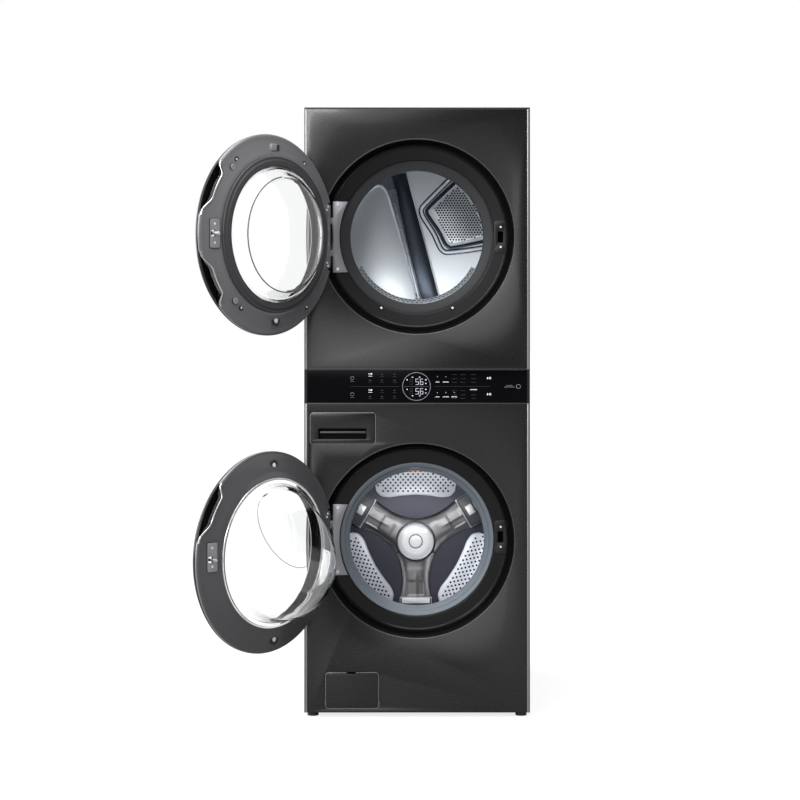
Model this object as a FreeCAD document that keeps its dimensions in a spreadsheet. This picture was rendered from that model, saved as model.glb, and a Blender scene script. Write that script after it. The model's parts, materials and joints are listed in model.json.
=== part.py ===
"""A washer and dryer stacked in one tall cabinet, as separate pieces.

Frame: millimetres, +Z up, the front faces -Y, and the origin is the centre of the footprint on the floor.
Round pieces are modelled about their own Y axis, which points into the machine, and then placed.
Both doors stand open, as the machine is used for loading.
"""
import FreeCAD, Part
import math
import os
import re

import Sketcher

SIZES = {
    # cabinet
    "cabinet_width": 700,
    "cabinet_depth": 770,
    "cabinet_height": 1890,
    "floor_gap": 14,
    "sheet_metal": 1.2,
    "top_thickness": 5,
    "front_half_width": 341,
    "console_low": 973,
    "console_high": 1077,
    "console_depth": 44,
    "base_height": 34,
    "deck_height": 1068,
    # door openings
    "washer_height": 546,
    "dryer_height": 1489,
    "recess_radius": 302,
    "recess_floor": 36,
    "groove_floor": 44,
    "mouth_radius": 240,
    # doors
    "door_radius": 299,
    "hinge_reach": 280,
    "hinge_proud": 10,
    "dryer_door_open": 128,
    "washer_door_open": 129,
    "pin_radius": 3,
    "pin_clearance": 0.05,
    "knuckle_radius": 5.5,
    "knuckle_height": 51,
    # drawer and pump flap
    "drawer_left": -332,
    "drawer_right": -128,
    "drawer_low": 846,
    "drawer_high": 944,
    "drawer_length": 300,
    "flap_left": -285,
    "flap_right": -118,
    "flap_low": 26,
    "flap_high": 139,
    # washing unit
    "gasket_mouth": 213,
    "tub_start": 100,
    "tub_tilt": 10,
    "tub_radius": 291,
    "tub_wall": 4,
    "tub_length": 484,
    "drum_radius": 275,
    "drum_mouth": 232,
    "drum_front": 24,
    "drum_back": 448,
    # drying unit
    "dryer_mouth": 209,
    "dryer_drum_radius": 300,
    "dryer_drum_front": 96,
    "dryer_drum_back": 646,
    "motor_across": 200,
    "motor_height": 1166,
    "pulley_radius": 15,
    "fan_radius": 64,
    "duct_across": 30,
    "duct_height": 1121,
    "duct_radius": 50.8,
}
FRONT = -SIZES["cabinet_depth"] / 2
HINGE_X = -SIZES["hinge_reach"]
BASE = "floor_gap + base_height"
HALF = "cabinet_width / 2"
SKIN = "sheet_metal"

doc = FreeCAD.newDocument("laundry_tower")
sheet = doc.addObject("Spreadsheet::Sheet", "sheet")
for row, (word, size) in enumerate(SIZES.items(), start=1):
    sheet.set(f"A{row}", word)
    sheet.set(f"B{row}", str(size))
    sheet.setAlias(f"B{row}", word)
doc.recompute()
# finger grips in each door's edge, as (low, high) angles from the latch side
DRYER_GRIPS = ((10, 45), (-45, -10))
WASHER_GRIPS = ((11, 48),)
WORDS = re.compile(r"[a-z][a-z_]+")
finished = []


def linked(text):
    """An expression with each size's name pointing at the sheet."""
    return WORDS.sub(lambda m: f"sheet.{m[0]}" if m[0] in SIZES else m[0], str(text))


def number(text):
    """The expression's value now."""
    return float(sheet.evalExpression(str(text)))


def bind(thing, prop, text):
    """Tie one size of an object to the sheet."""
    thing.setExpression(prop, linked(text))


def rest_of(tilt=0, swing=0, x=0, y=0, z=0):
    """A placement that tilts about X, swings about Z, then moves."""
    turn = FreeCAD.Rotation(FreeCAD.Vector(0, 0, 1), swing)
    turn = turn.multiply(FreeCAD.Rotation(FreeCAD.Vector(1, 0, 0), tilt))
    return FreeCAD.Placement(FreeCAD.Vector(x, y, z), turn)


def door_rest(height, angle):
    """Where an open door's own frame stands: its origin is the door's centre on the front plane."""
    hinge = FreeCAD.Placement(FreeCAD.Vector(HINGE_X, FRONT - SIZES["hinge_proud"], height),
                              FreeCAD.Rotation())
    swing = rest_of(swing=-angle)
    centre = rest_of(x=-HINGE_X, y=SIZES["hinge_proud"])
    return hinge.multiply(swing).multiply(centre)


FACE = rest_of(y=FRONT)
WASHER = rest_of(y=FRONT, z=SIZES["washer_height"])
DRYER = rest_of(y=FRONT, z=SIZES["dryer_height"])
TUB = rest_of(tilt=-SIZES["tub_tilt"], y=FRONT + SIZES["tub_start"], z=SIZES["washer_height"])
WASHER_DOOR = door_rest(SIZES["washer_height"], SIZES["washer_door_open"])
DRYER_DOOR = door_rest(SIZES["dryer_height"], SIZES["dryer_door_open"])


def block(name, x, y, z):
    """A box from three (low, high) pairs of expressions."""
    thing = doc.addObject("Part::Box", name)
    for side, axis, (low, high) in zip(("Length", "Width", "Height"), "xyz", (x, y, z)):
        bind(thing, side, f"({high}) - ({low})")
        bind(thing, f"Placement.Base.{axis}", low)
    return thing


def rod(name, radius, low, high, along="y", at=("0", "0")):
    """A cylinder along one axis; at gives its place on the other two axes, in X, Y, Z order."""
    thing = doc.addObject("Part::Cylinder", name)
    bind(thing, "Radius", radius)
    bind(thing, "Height", f"({high}) - ({low})")
    turns = {"x": (FreeCAD.Vector(0, 1, 0), 90), "y": (FreeCAD.Vector(1, 0, 0), -90),
             "z": (FreeCAD.Vector(0, 0, 1), 0)}
    thing.Placement.Rotation = FreeCAD.Rotation(*turns[along])
    places = dict(zip([axis for axis in "xyz" if axis != along], at))
    places[along] = low
    for axis, text in places.items():
        bind(thing, f"Placement.Base.{axis}", text)
    return thing


def plane_of(body, role):
    """The body's own origin plane with this role."""
    return next(feature for feature in body.Origin.OriginFeatures if feature.Role == role)


def outline_sketch(body, name, role, points):
    """A closed sketch of straight edges, each corner placed by two expressions."""
    sketch = body.newObject("Sketcher::SketchObject", f"{name}_outline")
    sketch.AttachmentSupport = [(plane_of(body, role), "")]
    sketch.MapMode = "FlatFace"
    corners = [FreeCAD.Vector(number(a), number(b), 0) for a, b in points]
    count = len(corners)
    for i in range(count):
        sketch.addGeometry(Part.LineSegment(corners[i], corners[(i + 1) % count]), False)
    for i in range(count):
        sketch.addConstraint(Sketcher.Constraint("Coincident", i, 2, (i + 1) % count, 1))
    for i, (a, b) in enumerate(points):
        for kind, text in (("DistanceX", a), ("DistanceY", b)):
            index = sketch.addConstraint(Sketcher.Constraint(kind, i, 1, number(text)))
            bind(sketch, f"Constraints[{index}]", text)
    return sketch


def turned(name, points):
    """A solid turned about Y from (radius, depth) corners."""
    body = doc.addObject("PartDesign::Body", name)
    sketch = outline_sketch(body, name, "XY_Plane", [(str(a), str(b)) for a, b in points])
    feature = body.newObject("PartDesign::Revolution", f"{name}_turn")
    feature.Profile = sketch
    feature.ReferenceAxis = (sketch, ["V_Axis"])
    feature.Angle = 360
    return body


def padded(name, points, length):
    """A solid pushed up along Z from (x, y) corners."""
    body = doc.addObject("PartDesign::Body", name)
    sketch = outline_sketch(body, name, "XY_Plane", points)
    feature = body.newObject("PartDesign::Pad", f"{name}_pad")
    feature.Profile = sketch
    bind(feature, "Length", length)
    return body


def joined(name, *things):
    """One solid out of several that meet."""
    thing = doc.addObject("Part::MultiFuse", name)
    thing.Shapes = list(things)
    return thing


def grouped(name, *things):
    """Several separate solids that share one node."""
    thing = doc.addObject("Part::Compound", name)
    thing.Links = list(things)
    return thing


def less(name, base, *tools):
    """The base with the tools cut away."""
    thing = doc.addObject("Part::Cut", name)
    thing.Base = base
    thing.Tool = tools[0] if len(tools) == 1 else joined(f"{name}_tools", *tools)
    return thing


def part(label, thing, place=None):
    """Name a finished sub-part and put it in its place, wrapped if its own place is tied to the sheet."""
    if thing.ExpressionEngine:
        thing = grouped(f"{label}_placed", thing)
    thing.Label = label
    if place is not None:
        thing.Placement = place.multiply(thing.Placement)
    finished.append(thing)
    return thing


def pan(name, x, y, z, wall, open_side):
    """A box with one side open: a folded tray, cover or housing."""
    outer = block(f"{name}_outer", x, y, z)
    inner = {}
    for axis, (low, high) in zip("xyz", (x, y, z)):
        inner[axis] = [f"({low}) + ({wall})", f"({high}) - ({wall})"]
    axis, end = open_side[1], open_side[0]
    if end == "+":
        inner[axis][1] = f"({dict(zip('xyz', (x, y, z)))[axis][1]}) + 1"
    else:
        inner[axis][0] = f"({dict(zip('xyz', (x, y, z)))[axis][0]}) - 1"
    return less(name, outer, block(f"{name}_inner", inner["x"], inner["y"], inner["z"]))


# ---------------------------------------------------------------- cabinet

def make_base_frame():
    """Folded steel pan that carries the feet, with a flat outlet left at each foot."""
    tray = pan("base_pan", (f"-{HALF} + 3", f"{HALF} - 3"), ("4", "cabinet_depth - 4"),
               ("floor_gap", BASE), "2", "+z")
    holes = []
    for i, (x, y) in enumerate(foot_places()):
        holes.append(rod(f"foot_hole_{i}", "5.2", "0", "60", "z", (x, y)))
    part("base_frame", less("base_frame_cut", tray, *holes), FACE)


def foot_places():
    """The four feet, as (x, depth) pairs."""
    return [(f"{side} * 324", depth) for depth in ("34", "cabinet_depth - 34") for side in (-1, 1)]


def make_feet():
    """Rubber-soled levelling feet, each a wide pad under a threaded stud with its lock nut."""
    feet = []
    for i, (x, y) in enumerate(foot_places()):
        pad = rod(f"foot_pad_{i}", "17.5", "0", "9", "z", (x, y))
        stud = rod(f"foot_stud_{i}", "5", "8", "44", "z", (x, y))
        nut = rod(f"foot_nut_{i}", "9", "9", "floor_gap", "z", (x, y))
        feet.append(joined(f"foot_{i}", pad, stud, nut))
    part("levelling_feet", grouped("feet", *feet), FACE)


def make_side_panels():
    """Left and right sheets, each returned inwards at the front and the back."""
    sides = []
    for word, s in (("left", "-1"), ("right", "1")):
        edge = f"{s} * {HALF}"
        inside = f"{s} * ({HALF} - {SKIN})"
        flange = f"{s} * ({HALF} - 16)"
        back_skin = f"cabinet_depth - {SKIN}"
        points = [(f"{s} * front_half_width", "0"), (f"{s} * ({HALF} - 3)", "0"),
                  (f"{s} * ({HALF} - 0.8)", "0.8"), (edge, "3"), (edge, "cabinet_depth"),
                  (flange, "cabinet_depth"), (flange, back_skin), (inside, back_skin), (inside, SKIN),
                  (f"{s} * front_half_width", SKIN)]
        sheet_side = padded(f"side_sheet_{word}", points, "cabinet_height - top_thickness - floor_gap")
        console_gap = block(f"console_gap_{word}", ("-400", "400"), ("-1", "console_depth + 0.2"),
                            ("console_low - floor_gap", "console_high - floor_gap"))
        side = less(f"side_{word}", sheet_side, console_gap)
        side.Placement = rest_of(z=SIZES["floor_gap"])
        sides.append(side)
    part("side_panels", grouped("sides", *sides), FACE)


def make_top_panel():
    """Flat lid with rounded upright corners."""
    lid = block("lid", (f"-{HALF}", HALF), ("0", "cabinet_depth"),
                ("cabinet_height - top_thickness", "cabinet_height"))
    rounded = doc.addObject("Part::Fillet", "lid_rounded")
    rounded.Base = lid
    doc.recompute()
    upright = [i for i, edge in enumerate(lid.Shape.Edges, start=1) if edge.BoundBox.ZLength > 1]
    rounded.Edges = [(i, 3, 3) for i in upright]
    part("top_panel", rounded, FACE)


def make_front_panels():
    """The two painted front sheets, each with a round opening; the lower one also has two square ones."""
    front = ("0", SKIN)
    across = ("-front_half_width", "front_half_width")
    upper = block("upper_sheet", across, front, ("console_high", "cabinet_height - top_thickness"))
    upper_hole = rod("upper_hole", "recess_radius", "-5", "5", "y", ("0", "dryer_height"))
    part("upper_front_panel", less("upper_front", upper, upper_hole), FACE)
    lower = block("lower_sheet", across, front, ("floor_gap", "console_low"))
    lower_hole = rod("lower_hole", "recess_radius", "-5", "5", "y", ("0", "washer_height"))
    drawer_hole = block("drawer_hole", ("drawer_left - 1", "drawer_right + 1"), ("-5", "5"),
                        ("drawer_low - 1", "drawer_high + 1"))
    flap_hole = block("flap_hole", ("flap_left - 1", "flap_right + 1"), ("-5", "5"),
                      ("flap_low - 1", "flap_high + 1"))
    part("lower_front_panel", less("lower_front", lower, lower_hole, drawer_hole, flap_hole), FACE)


def make_rear_panel():
    """One back sheet with openings for the exhaust and the water fittings."""
    back = block("back_sheet", (f"-{HALF} + 17", f"{HALF} - 17"),
                 (f"cabinet_depth - {SKIN}", "cabinet_depth"),
                 (BASE, "cabinet_height - top_thickness"))
    duct_hole = rod("duct_hole", "duct_radius + 2", "cabinet_depth - 5", "cabinet_depth + 5", "y",
                    ("duct_across", "duct_height"))
    holes = [rod(f"fitting_hole_{i}", "16", "cabinet_depth - 5", "cabinet_depth + 5", "y", place)
             for i, place in enumerate(FITTINGS)]
    part("rear_panel", less("back", back, duct_hole, *holes), FACE)


FITTINGS = [("200", "930"), ("270", "930"), ("-270", "880")]


def make_console():
    """Control housing, its glass front and the display board behind it."""
    tray = pan("console_tray", (f"-{HALF}", HALF), ("0", "console_depth"), ("console_low", "console_high"),
               "2.5", "+y")
    window = block("console_window", ("-front_half_width", "front_half_width"), ("-1", "2"),
                   ("console_low + 2", "console_high - 2"))
    part("control_panel_housing", less("console_housing", tray, window), FACE)
    glass = block("console_glass", ("-front_half_width + 0.2", "front_half_width - 0.2"), ("-1", "2"),
                  ("console_low + 2.2", "console_high - 2.2"))
    part("control_panel_glass", glass, FACE)
    board = block("board", ("-235", "235"), ("12", "13.6"), ("console_low + 12", "console_high - 12"))
    legs = [rod(f"board_leg_{i}", "3", "2.5", "12.5", "y", (x, z))
            for i, (x, z) in enumerate([(x, z) for x in ("-225", "0", "225")
                                        for z in ("console_low + 20", "console_high - 20")])]
    part("display_board", joined("board_and_legs", board, *legs), FACE)


def make_middle_deck():
    """The shelf that carries the dryer over the washer."""
    deck = pan("deck", (f"-{HALF} + 2", f"{HALF} - 2"), ("46", "cabinet_depth - 4"),
               ("deck_height - 24", "deck_height"),
               "2", "-z")
    part("middle_deck", deck, FACE)


def make_door_surrounds():
    """The two moulded recesses that the doors close into, with a slot for each latch."""
    profile = [("recess_radius + 12", f"{SKIN} + 0.1"), ("recess_radius - 0.4", f"{SKIN} + 0.1"),
               ("recess_radius - 10", "groove_floor - 4"), ("recess_radius - 16", "groove_floor"),
               ("recess_radius - 19", "recess_floor - 4"), ("recess_radius - 22", "recess_floor - 5"),
               ("recess_radius - 24", "recess_floor"), ("mouth_radius", "recess_floor"),
               ("mouth_radius", "recess_floor + 10"),
               ("mouth_radius + 3", "recess_floor + 10"), ("mouth_radius + 3", "recess_floor + 3"),
               ("recess_radius - 21", "recess_floor + 3"), ("recess_radius - 18", "groove_floor + 3"),
               ("recess_radius - 8", "groove_floor + 3"), ("recess_radius + 1", "5"),
               ("recess_radius + 12", "5")]
    rings = []
    for word, height, slot_low in (("washer", "washer_height", "-9"), ("dryer", "dryer_height", "-17")):
        ring = turned(f"{word}_recess", profile)
        slot = block(f"{word}_slot", ("252", "269"), ("20", "60"), (slot_low, f"{slot_low} + 34"))
        cut = less(f"{word}_recess_slotted", ring, slot)
        cut.Placement = rest_of(z=SIZES[height])
        rings.append(cut)
    part("door_surrounds", grouped("recesses", *rings), FACE)


def make_cabinet_hinges():
    """A steel plate on each recess floor with two arms that reach forward to the hinge line."""
    brackets = []
    pins = []
    for word, height in (("washer", "washer_height"), ("dryer", "dryer_height")):
        sheet_half = block(f"{word}_plate", ("-283", "-224"), ("recess_floor - 7.2", "recess_floor - 5.2"),
                           ("-111", "111"))
        disc = rod(f"{word}_plate_disc", "recess_radius - 17", "0", "60", "y", ("0", "0"))
        mouth = rod(f"{word}_plate_mouth", "mouth_radius + 1", "0", "60", "y", ("0", "0"))
        plate = doc.addObject("Part::Common", f"{word}_plate_trim")
        plate.Base = less(f"{word}_plate_cut", sheet_half, mouth)
        plate.Tool = disc
        pieces = [plate]
        for s in (-1, 1):
            side = "low" if s < 0 else "high"
            z = (f"{s} * knuckle_height - 6", f"{s} * knuckle_height + 6")
            arm = block(f"{word}_arm_{side}", ("-hinge_reach - 3", "-hinge_reach + 3"),
                        ("-hinge_proud", "recess_floor - 5.2"), z)
            foot = block(f"{word}_arm_foot_{side}", ("-hinge_reach - 3", "-262"),
                         ("recess_floor - 9", "recess_floor - 5.2"), z)
            knuckle = rod(f"{word}_knuckle_{side}", "knuckle_radius", *z, "z",
                          ("-hinge_reach", "-hinge_proud"))
            pieces += [arm, foot, knuckle]
            pin = rod(f"{word}_pin_{side}", "pin_radius", f"{s} * (knuckle_height + 8) - 14",
                      f"{s} * (knuckle_height + 8) + 14", "z", ("-hinge_reach", "-hinge_proud"))
            moved = grouped(f"{word}_pin_place_{side}", pin)
            moved.Placement = rest_of(z=SIZES[height])
            pins.append(moved)
        bore = rod(f"{word}_bracket_bore", "pin_radius", "-150", "150", "z",
                   ("-hinge_reach", "-hinge_proud"))
        bracket = less(f"{word}_bracket", joined(f"{word}_bracket_solid", *pieces), bore)
        bracket.Placement = rest_of(z=SIZES[height])
        brackets.append(bracket)
    part("hinge_brackets", grouped("brackets", *brackets), FACE)
    part("hinge_pins", grouped("pins", *pins), FACE)


def make_locks():
    """The washer's electric lock and the dryer's sprung catch, each boxed behind its slot."""
    for label, place, low in (("washer_door_lock", WASHER, -9), ("dryer_door_catch", DRYER, -17)):
        body = block(f"{label}_body", ("246", "276"), ("recess_floor + 3.2", "recess_floor + 44"),
                     (f"{low} - 24", f"{low} + 58"))
        well = block(f"{label}_well", ("251", "270"), ("0", "recess_floor + 30"),
                     (f"{low} - 1", f"{low} + 35"))
        part(label, less(f"{label}_open", body, well), place)


def make_screws():
    """Pan-head screws that hold the recesses and the hinge plates."""
    places = []
    for height, slot_middle in (("washer_height", 8), ("dryer_height", 0)):
        places += [("261", f"{height} + {slot_middle} + {z}") for z in (-31, 31)]
        places += [("-247", f"{height} + {z}") for z in (-100, 100)]
        places += [("-111", f"{height} - 221"),
                   ("111", f"{height} - 221")] if height == "dryer_height" else []
    heads = []
    for i, (x, z) in enumerate(places):
        start = "recess_floor - 10.2" if x == "-247" else "recess_floor - 3"
        heads.append(rod(f"screw_{i}", "4", start, f"{start} + 2.9", "y", (x, z)))
    part("panel_screws", grouped("screws", *heads), FACE)


def make_gasket():
    """The rubber bellows between the recess and the tub, with a lip round its mouth."""
    lip = turned("gasket_lip", [("mouth_radius - 2", "recess_floor + 1"),
                                ("mouth_radius - 0.4", "recess_floor + 10.4"),
                                ("mouth_radius + 3", "recess_floor + 10.4"),
                                ("mouth_radius + 3", "recess_floor + 16"),
                                ("mouth_radius - 6", "recess_floor + 18"),
                                ("gasket_mouth + 6", "recess_floor + 34"),
                                ("gasket_mouth", "recess_floor + 36"),
                                ("gasket_mouth - 3", "recess_floor + 32"),
                                ("gasket_mouth + 2", "recess_floor + 26"),
                                ("mouth_radius - 16", "recess_floor + 4")])
    part("door_gasket", lip, WASHER)


def make_drawer_housing():
    """Open-fronted box that the detergent drawer runs in."""
    part("drawer_housing", pan("dispenser", ("drawer_left + 1", "drawer_right - 1"),
                               ("15", "drawer_length + 40"),
                               ("drawer_low + 3", "drawer_high + 6"), "3", "-y"), FACE)


def make_water_fittings():
    """Hot and cold inlet valves and the drain spigot, at the back."""
    pieces = []
    for i, (x, z) in enumerate(FITTINGS):
        radius = "13.2" if i < 2 else "14"
        spigot = rod(f"spigot_{i}", radius, "cabinet_depth - 40", "cabinet_depth + 22", "y", (x, z))
        flange = rod(f"spigot_flange_{i}", "20", "cabinet_depth - 6", f"cabinet_depth - {SKIN} - 0.2", "y",
                     (x, z))
        bore = rod(f"spigot_bore_{i}", "9", "cabinet_depth - 20", "cabinet_depth + 30", "y", (x, z))
        pieces.append(less(f"fitting_{i}", joined(f"fitting_solid_{i}", spigot, flange), bore))
    part("water_fittings", grouped("fittings", *pieces), FACE)


def make_pump():
    """Drain pump with its filter well opening behind the flap, and the filter that turns in it."""
    shell = joined("pump_shell", rod("pump_well", "38", "30", "150", "y", ("-200", "84")),
                   rod("pump_motor", "30", "149", "205", "y", ("-200", "84")),
                   block("pump_foot", ("-240", "-160"), ("60", "180"), ("floor_gap + 2.2", "60")))
    well = rod("pump_bore", "33", "0", "140", "y", ("-200", "84"))
    part("drain_pump", less("pump_open", shell, well), FACE)
    grip = block("filter_grip", ("-224", "-176"), ("10", "26"), ("80", "88"))
    cap = rod("filter_cap", "32.9", "24", "46", "y", ("-200", "84"))
    basket = rod("filter_basket", "24", "45", "120", "y", ("-200", "84"))
    part("pump_filter", joined("filter", grip, cap, basket), FACE)


def make_flap():
    """The small door over the pump filter, hinged along its foot."""
    sheet_flap = block("flap_sheet", ("flap_left", "flap_right"), ("-1", "1.5"), ("flap_low", "flap_high"))
    notch = block("flap_notch", ("-218", "-190"), ("-3", "3"), ("flap_high - 5", "flap_high + 1"))
    part("pump_cover", less("flap", sheet_flap, notch), FACE)


def make_terminal_cover():
    """Cover over the terminal block where the power lead enters from below."""
    cover = pan("terminal", ("200", "290"), ("cabinet_depth + 0.1", "cabinet_depth + 22"), ("1010", "1100"),
                "2", "-y")
    entry = rod("lead_entry", "11", "1000", "1020", "z", ("245", "cabinet_depth + 11"))
    part("power_terminal_cover", less("terminal_cut", cover, entry), FACE)


# ---------------------------------------------------------------- washing unit

def make_tub():
    """The two moulded halves of the outer tub, the front weight and the motor's fixed coil ring."""
    front = [("228", "8"), ("tub_radius", "8"), ("tub_radius", "tub_length / 2"),
             ("tub_radius - tub_wall", "tub_length / 2"),
             ("tub_radius - tub_wall", "12"), ("232", "12"), ("232", "20"), ("228", "20")]
    part("tub_front", turned("tub_front_half", front), TUB)
    rear = [("tub_radius", "tub_length / 2 + 0.2"), ("tub_radius", "tub_length"), ("40", "tub_length"),
            ("40", "tub_length + 14"),
            ("20", "tub_length + 14"), ("20", "tub_length - 5"),
            ("tub_radius - tub_wall", "tub_length - 5"),
            ("tub_radius - tub_wall", "tub_length / 2 + 0.2")]
    part("tub_rear", turned("tub_rear_half", rear), TUB)
    ring = turned("weight_ring", [("244", "-26"), ("284", "-26"), ("284", "7.8"), ("244", "7.8")])
    keep = block("weight_keep", ("-220", "220"), ("-40", "20"), ("110", "300"))
    weight = doc.addObject("Part::Common", "weight")
    weight.Base = ring
    weight.Tool = keep
    part("front_counterweight", weight, TUB)
    stator = [("41", "tub_length + 0.2"), ("112", "tub_length + 0.2"), ("112", "tub_length + 22"),
              ("60", "tub_length + 22"),
              ("60", "tub_length + 8"), ("41", "tub_length + 8")]
    part("motor_stator", turned("stator", stator), TUB)


def make_suspension():
    """Two springs above the tub, and four upright dampers below it: cylinders on the base, rods on the tub."""
    springs = []
    cylinders = []
    rods = []
    for s in (-1, 1):
        side = "left" if s < 0 else "right"
        x = f"{s} * 180"
        springs.append(rod(f"spring_{side}", "14", "804", "1036", "z", (x, "375")))
        for word, depth, top in (("front", "240", "302"), ("back", "430", "262")):
            tube = rod(f"damper_{side}_{word}", "14", "floor_gap + 2.2", "190", "z", (x, depth))
            bore = rod(f"damper_bore_{side}_{word}", "8.05", "60", "200", "z", (x, depth))
            cylinders.append(less(f"damper_tube_{side}_{word}", tube, bore))
            lug = block(f"damper_lug_{side}_{word}", (f"{x} - 14", f"{x} + 14"),
                        (f"{depth} - 10", f"{depth} + 10"),
                        ("212", top))
            shaft = rod(f"damper_shaft_{side}_{word}", "8", "90", "213", "z", (x, depth))
            rods.append(joined(f"damper_rod_{side}_{word}", lug, shaft))
    part("suspension_springs", grouped("springs", *springs), FACE)
    part("damper_cylinders", grouped("cylinders", *cylinders), FACE)
    bare = grouped("rods", *rods)
    hull = turned("tub_space", [("0", "-40"), ("tub_radius + 0.3", "-40"),
                                ("tub_radius + 0.3", "tub_length + 10"),
                                ("0", "tub_length + 10")])
    hull.Placement = FACE.inverse().multiply(TUB)
    part("damper_rods", less("rods_trimmed", bare, hull), FACE)


def make_washer_drum():
    """The wash drum with its mouth rim and back sheet, three lifters, and the spider and shaft that turn it."""
    shell = [("drum_mouth", "drum_front"), ("drum_radius - 6", "drum_front"),
             ("drum_radius", "drum_front + 6"),
             ("drum_radius", "drum_back"), ("40", "drum_back"), ("40", "drum_back - 1.5"),
             ("drum_radius - 1.5", "drum_back - 1.5"), ("drum_radius - 1.5", "drum_front + 7"),
             ("drum_radius - 7", "drum_front + 1.5"), ("drum_mouth + 1.5", "drum_front + 1.5"),
             ("drum_mouth + 1.5", "drum_front + 8"), ("drum_mouth", "drum_front + 8")]
    part("washer_drum_shell", turned("wash_shell", shell), TUB)
    lifters = []
    for i in range(3):
        fin = doc.addObject("Part::Wedge", f"lifter_{i}")
        for side, text in (("Xmin", "-34"), ("Xmax", "34"), ("X2min", "-12"), ("X2max", "12"),
                           ("Ymin", "0"), ("Ymax", "74"),
                           ("Zmin", "0"), ("Zmax", "340"), ("Z2min", "20"), ("Z2max", "320")):
            bind(fin, side, text)
        fin.Placement = lifter_place(i)
        lifters.append(fin)
    part("drum_lifters", grouped("lifters", *lifters), TUB)
    hub = turned("spider_hub", [("0", "drum_back - 14"), ("64", "drum_back - 14"),
                                ("78", "drum_back - 1.7"),
                                ("39.8", "drum_back - 1.7"), ("39.8", "tub_length - 8"),
                                ("12", "tub_length - 8"),
                                ("12", "tub_length + 40"), ("0", "tub_length + 40")])
    arms = []
    for i in range(3):
        arm = block(f"spider_arm_{i}", ("-52", "52"), ("drum_back - 10", "drum_back - 1.7"), ("40", "182"))
        spun = grouped(f"spider_arm_spun_{i}", arm)
        spun.Placement = FreeCAD.Placement(FreeCAD.Vector(),
                                           FreeCAD.Rotation(FreeCAD.Vector(0, 1, 0), 60 + 120 * i))
        arms.append(spun)
    part("drum_spider", joined("spider", hub, *arms), TUB)
    cap = turned("cap", [("0", "drum_back - 26"), ("40", "drum_back - 26"), ("58", "drum_back - 20"),
                         ("62", "drum_back - 14.2"),
                         ("0", "drum_back - 14.2")])
    part("hub_cap", cap, TUB)
    rotor = [("0", "tub_length + 40.2"), ("150", "tub_length + 40.2"), ("150", "tub_length + 1"),
             ("117", "tub_length + 1"),
             ("117", "tub_length + 34"), ("20", "tub_length + 34"), ("20", "tub_length + 25"),
             ("12.2", "tub_length + 25"),
             ("12.2", "tub_length + 40.1"), ("0", "tub_length + 40.1")]
    part("motor_rotor", turned("rotor", rotor), TUB)


def lifter_place(i):
    """Each lifter stands on the drum wall, pointing at the axis and running along it."""
    upright = FreeCAD.Placement(FreeCAD.Vector(0, SIZES["drum_front"] + 48, -SIZES["drum_radius"] + 4.3),
                                FreeCAD.Rotation(FreeCAD.Vector(1, 0, 0), 90))
    mirrored = FreeCAD.Placement(FreeCAD.Vector(0, 340, 0), FreeCAD.Rotation())
    spin = FreeCAD.Placement(FreeCAD.Vector(), FreeCAD.Rotation(FreeCAD.Vector(0, 1, 0), 120 * i))
    return spin.multiply(mirrored).multiply(upright)


# ---------------------------------------------------------------- drying unit

def make_dryer_bulkheads():
    """The fixed front ring that the clothes pass through, and the fixed back wall of the drum."""
    front = [("dryer_mouth", "52"), ("mouth_radius - 6", "recess_floor + 11"),
             ("mouth_radius + 60", "recess_floor + 13"),
             ("mouth_radius + 60", "recess_floor + 15"), ("mouth_radius - 4", "recess_floor + 13"),
             ("dryer_mouth + 2", "54"),
             ("dryer_mouth + 2", "dryer_drum_front + 14"), ("dryer_mouth", "dryer_drum_front + 14")]
    ring = turned("dryer_ring", front)
    bay = block("filter_bay", ("-72", "72"), ("60", "84"), ("-225", "-190"))
    catch_gap = block("catch_gap", ("243", "280"), ("45", "56"), ("-45", "45"))
    part("dryer_front_bulkhead", less("dryer_ring_open", ring, bay, catch_gap), DRYER)
    back = turned("dryer_back", [("0", "dryer_drum_back + 2"),
                                 ("dryer_drum_radius + 6", "dryer_drum_back + 2"),
                                 ("dryer_drum_radius + 6", "dryer_drum_back - 8"),
                                 ("dryer_drum_radius + 8", "dryer_drum_back - 8"),
                                 ("dryer_drum_radius + 8", "dryer_drum_back + 4"),
                                 ("0", "dryer_drum_back + 4")])
    part("dryer_rear_bulkhead", back, DRYER)


def make_dryer_drum():
    """The drying drum, open at both ends, with three lifters pressed from its wall."""
    wall = turned("dry_shell", [("dryer_drum_radius - 60", "dryer_drum_front"),
                                ("dryer_drum_radius", "dryer_drum_front"),
                                ("dryer_drum_radius", "dryer_drum_back"),
                                ("dryer_drum_radius - 1.5", "dryer_drum_back"),
                                ("dryer_drum_radius - 1.5", "dryer_drum_front + 1.5"),
                                ("dryer_drum_radius - 60", "dryer_drum_front + 1.5")])
    fin_size, fin_corner = ("36", "440", "52"), (-18, 60, 0.8)
    hollow_size, hollow_corner = ("33", "437", "58.5"), (-16.5, 61.5, -7.2)
    fins, hollows = [], []
    for i in range(3):
        fins.append(drum_fin(f"dry_fin_{i}", i, fin_size, fin_corner))
        hollows.append(drum_fin(f"dry_fin_hollow_{i}", i, hollow_size, hollow_corner))
    part("dryer_drum_shell", less("dry_drum_pressed", joined("dry_drum", wall, *fins), *hollows), DRYER)


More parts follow.
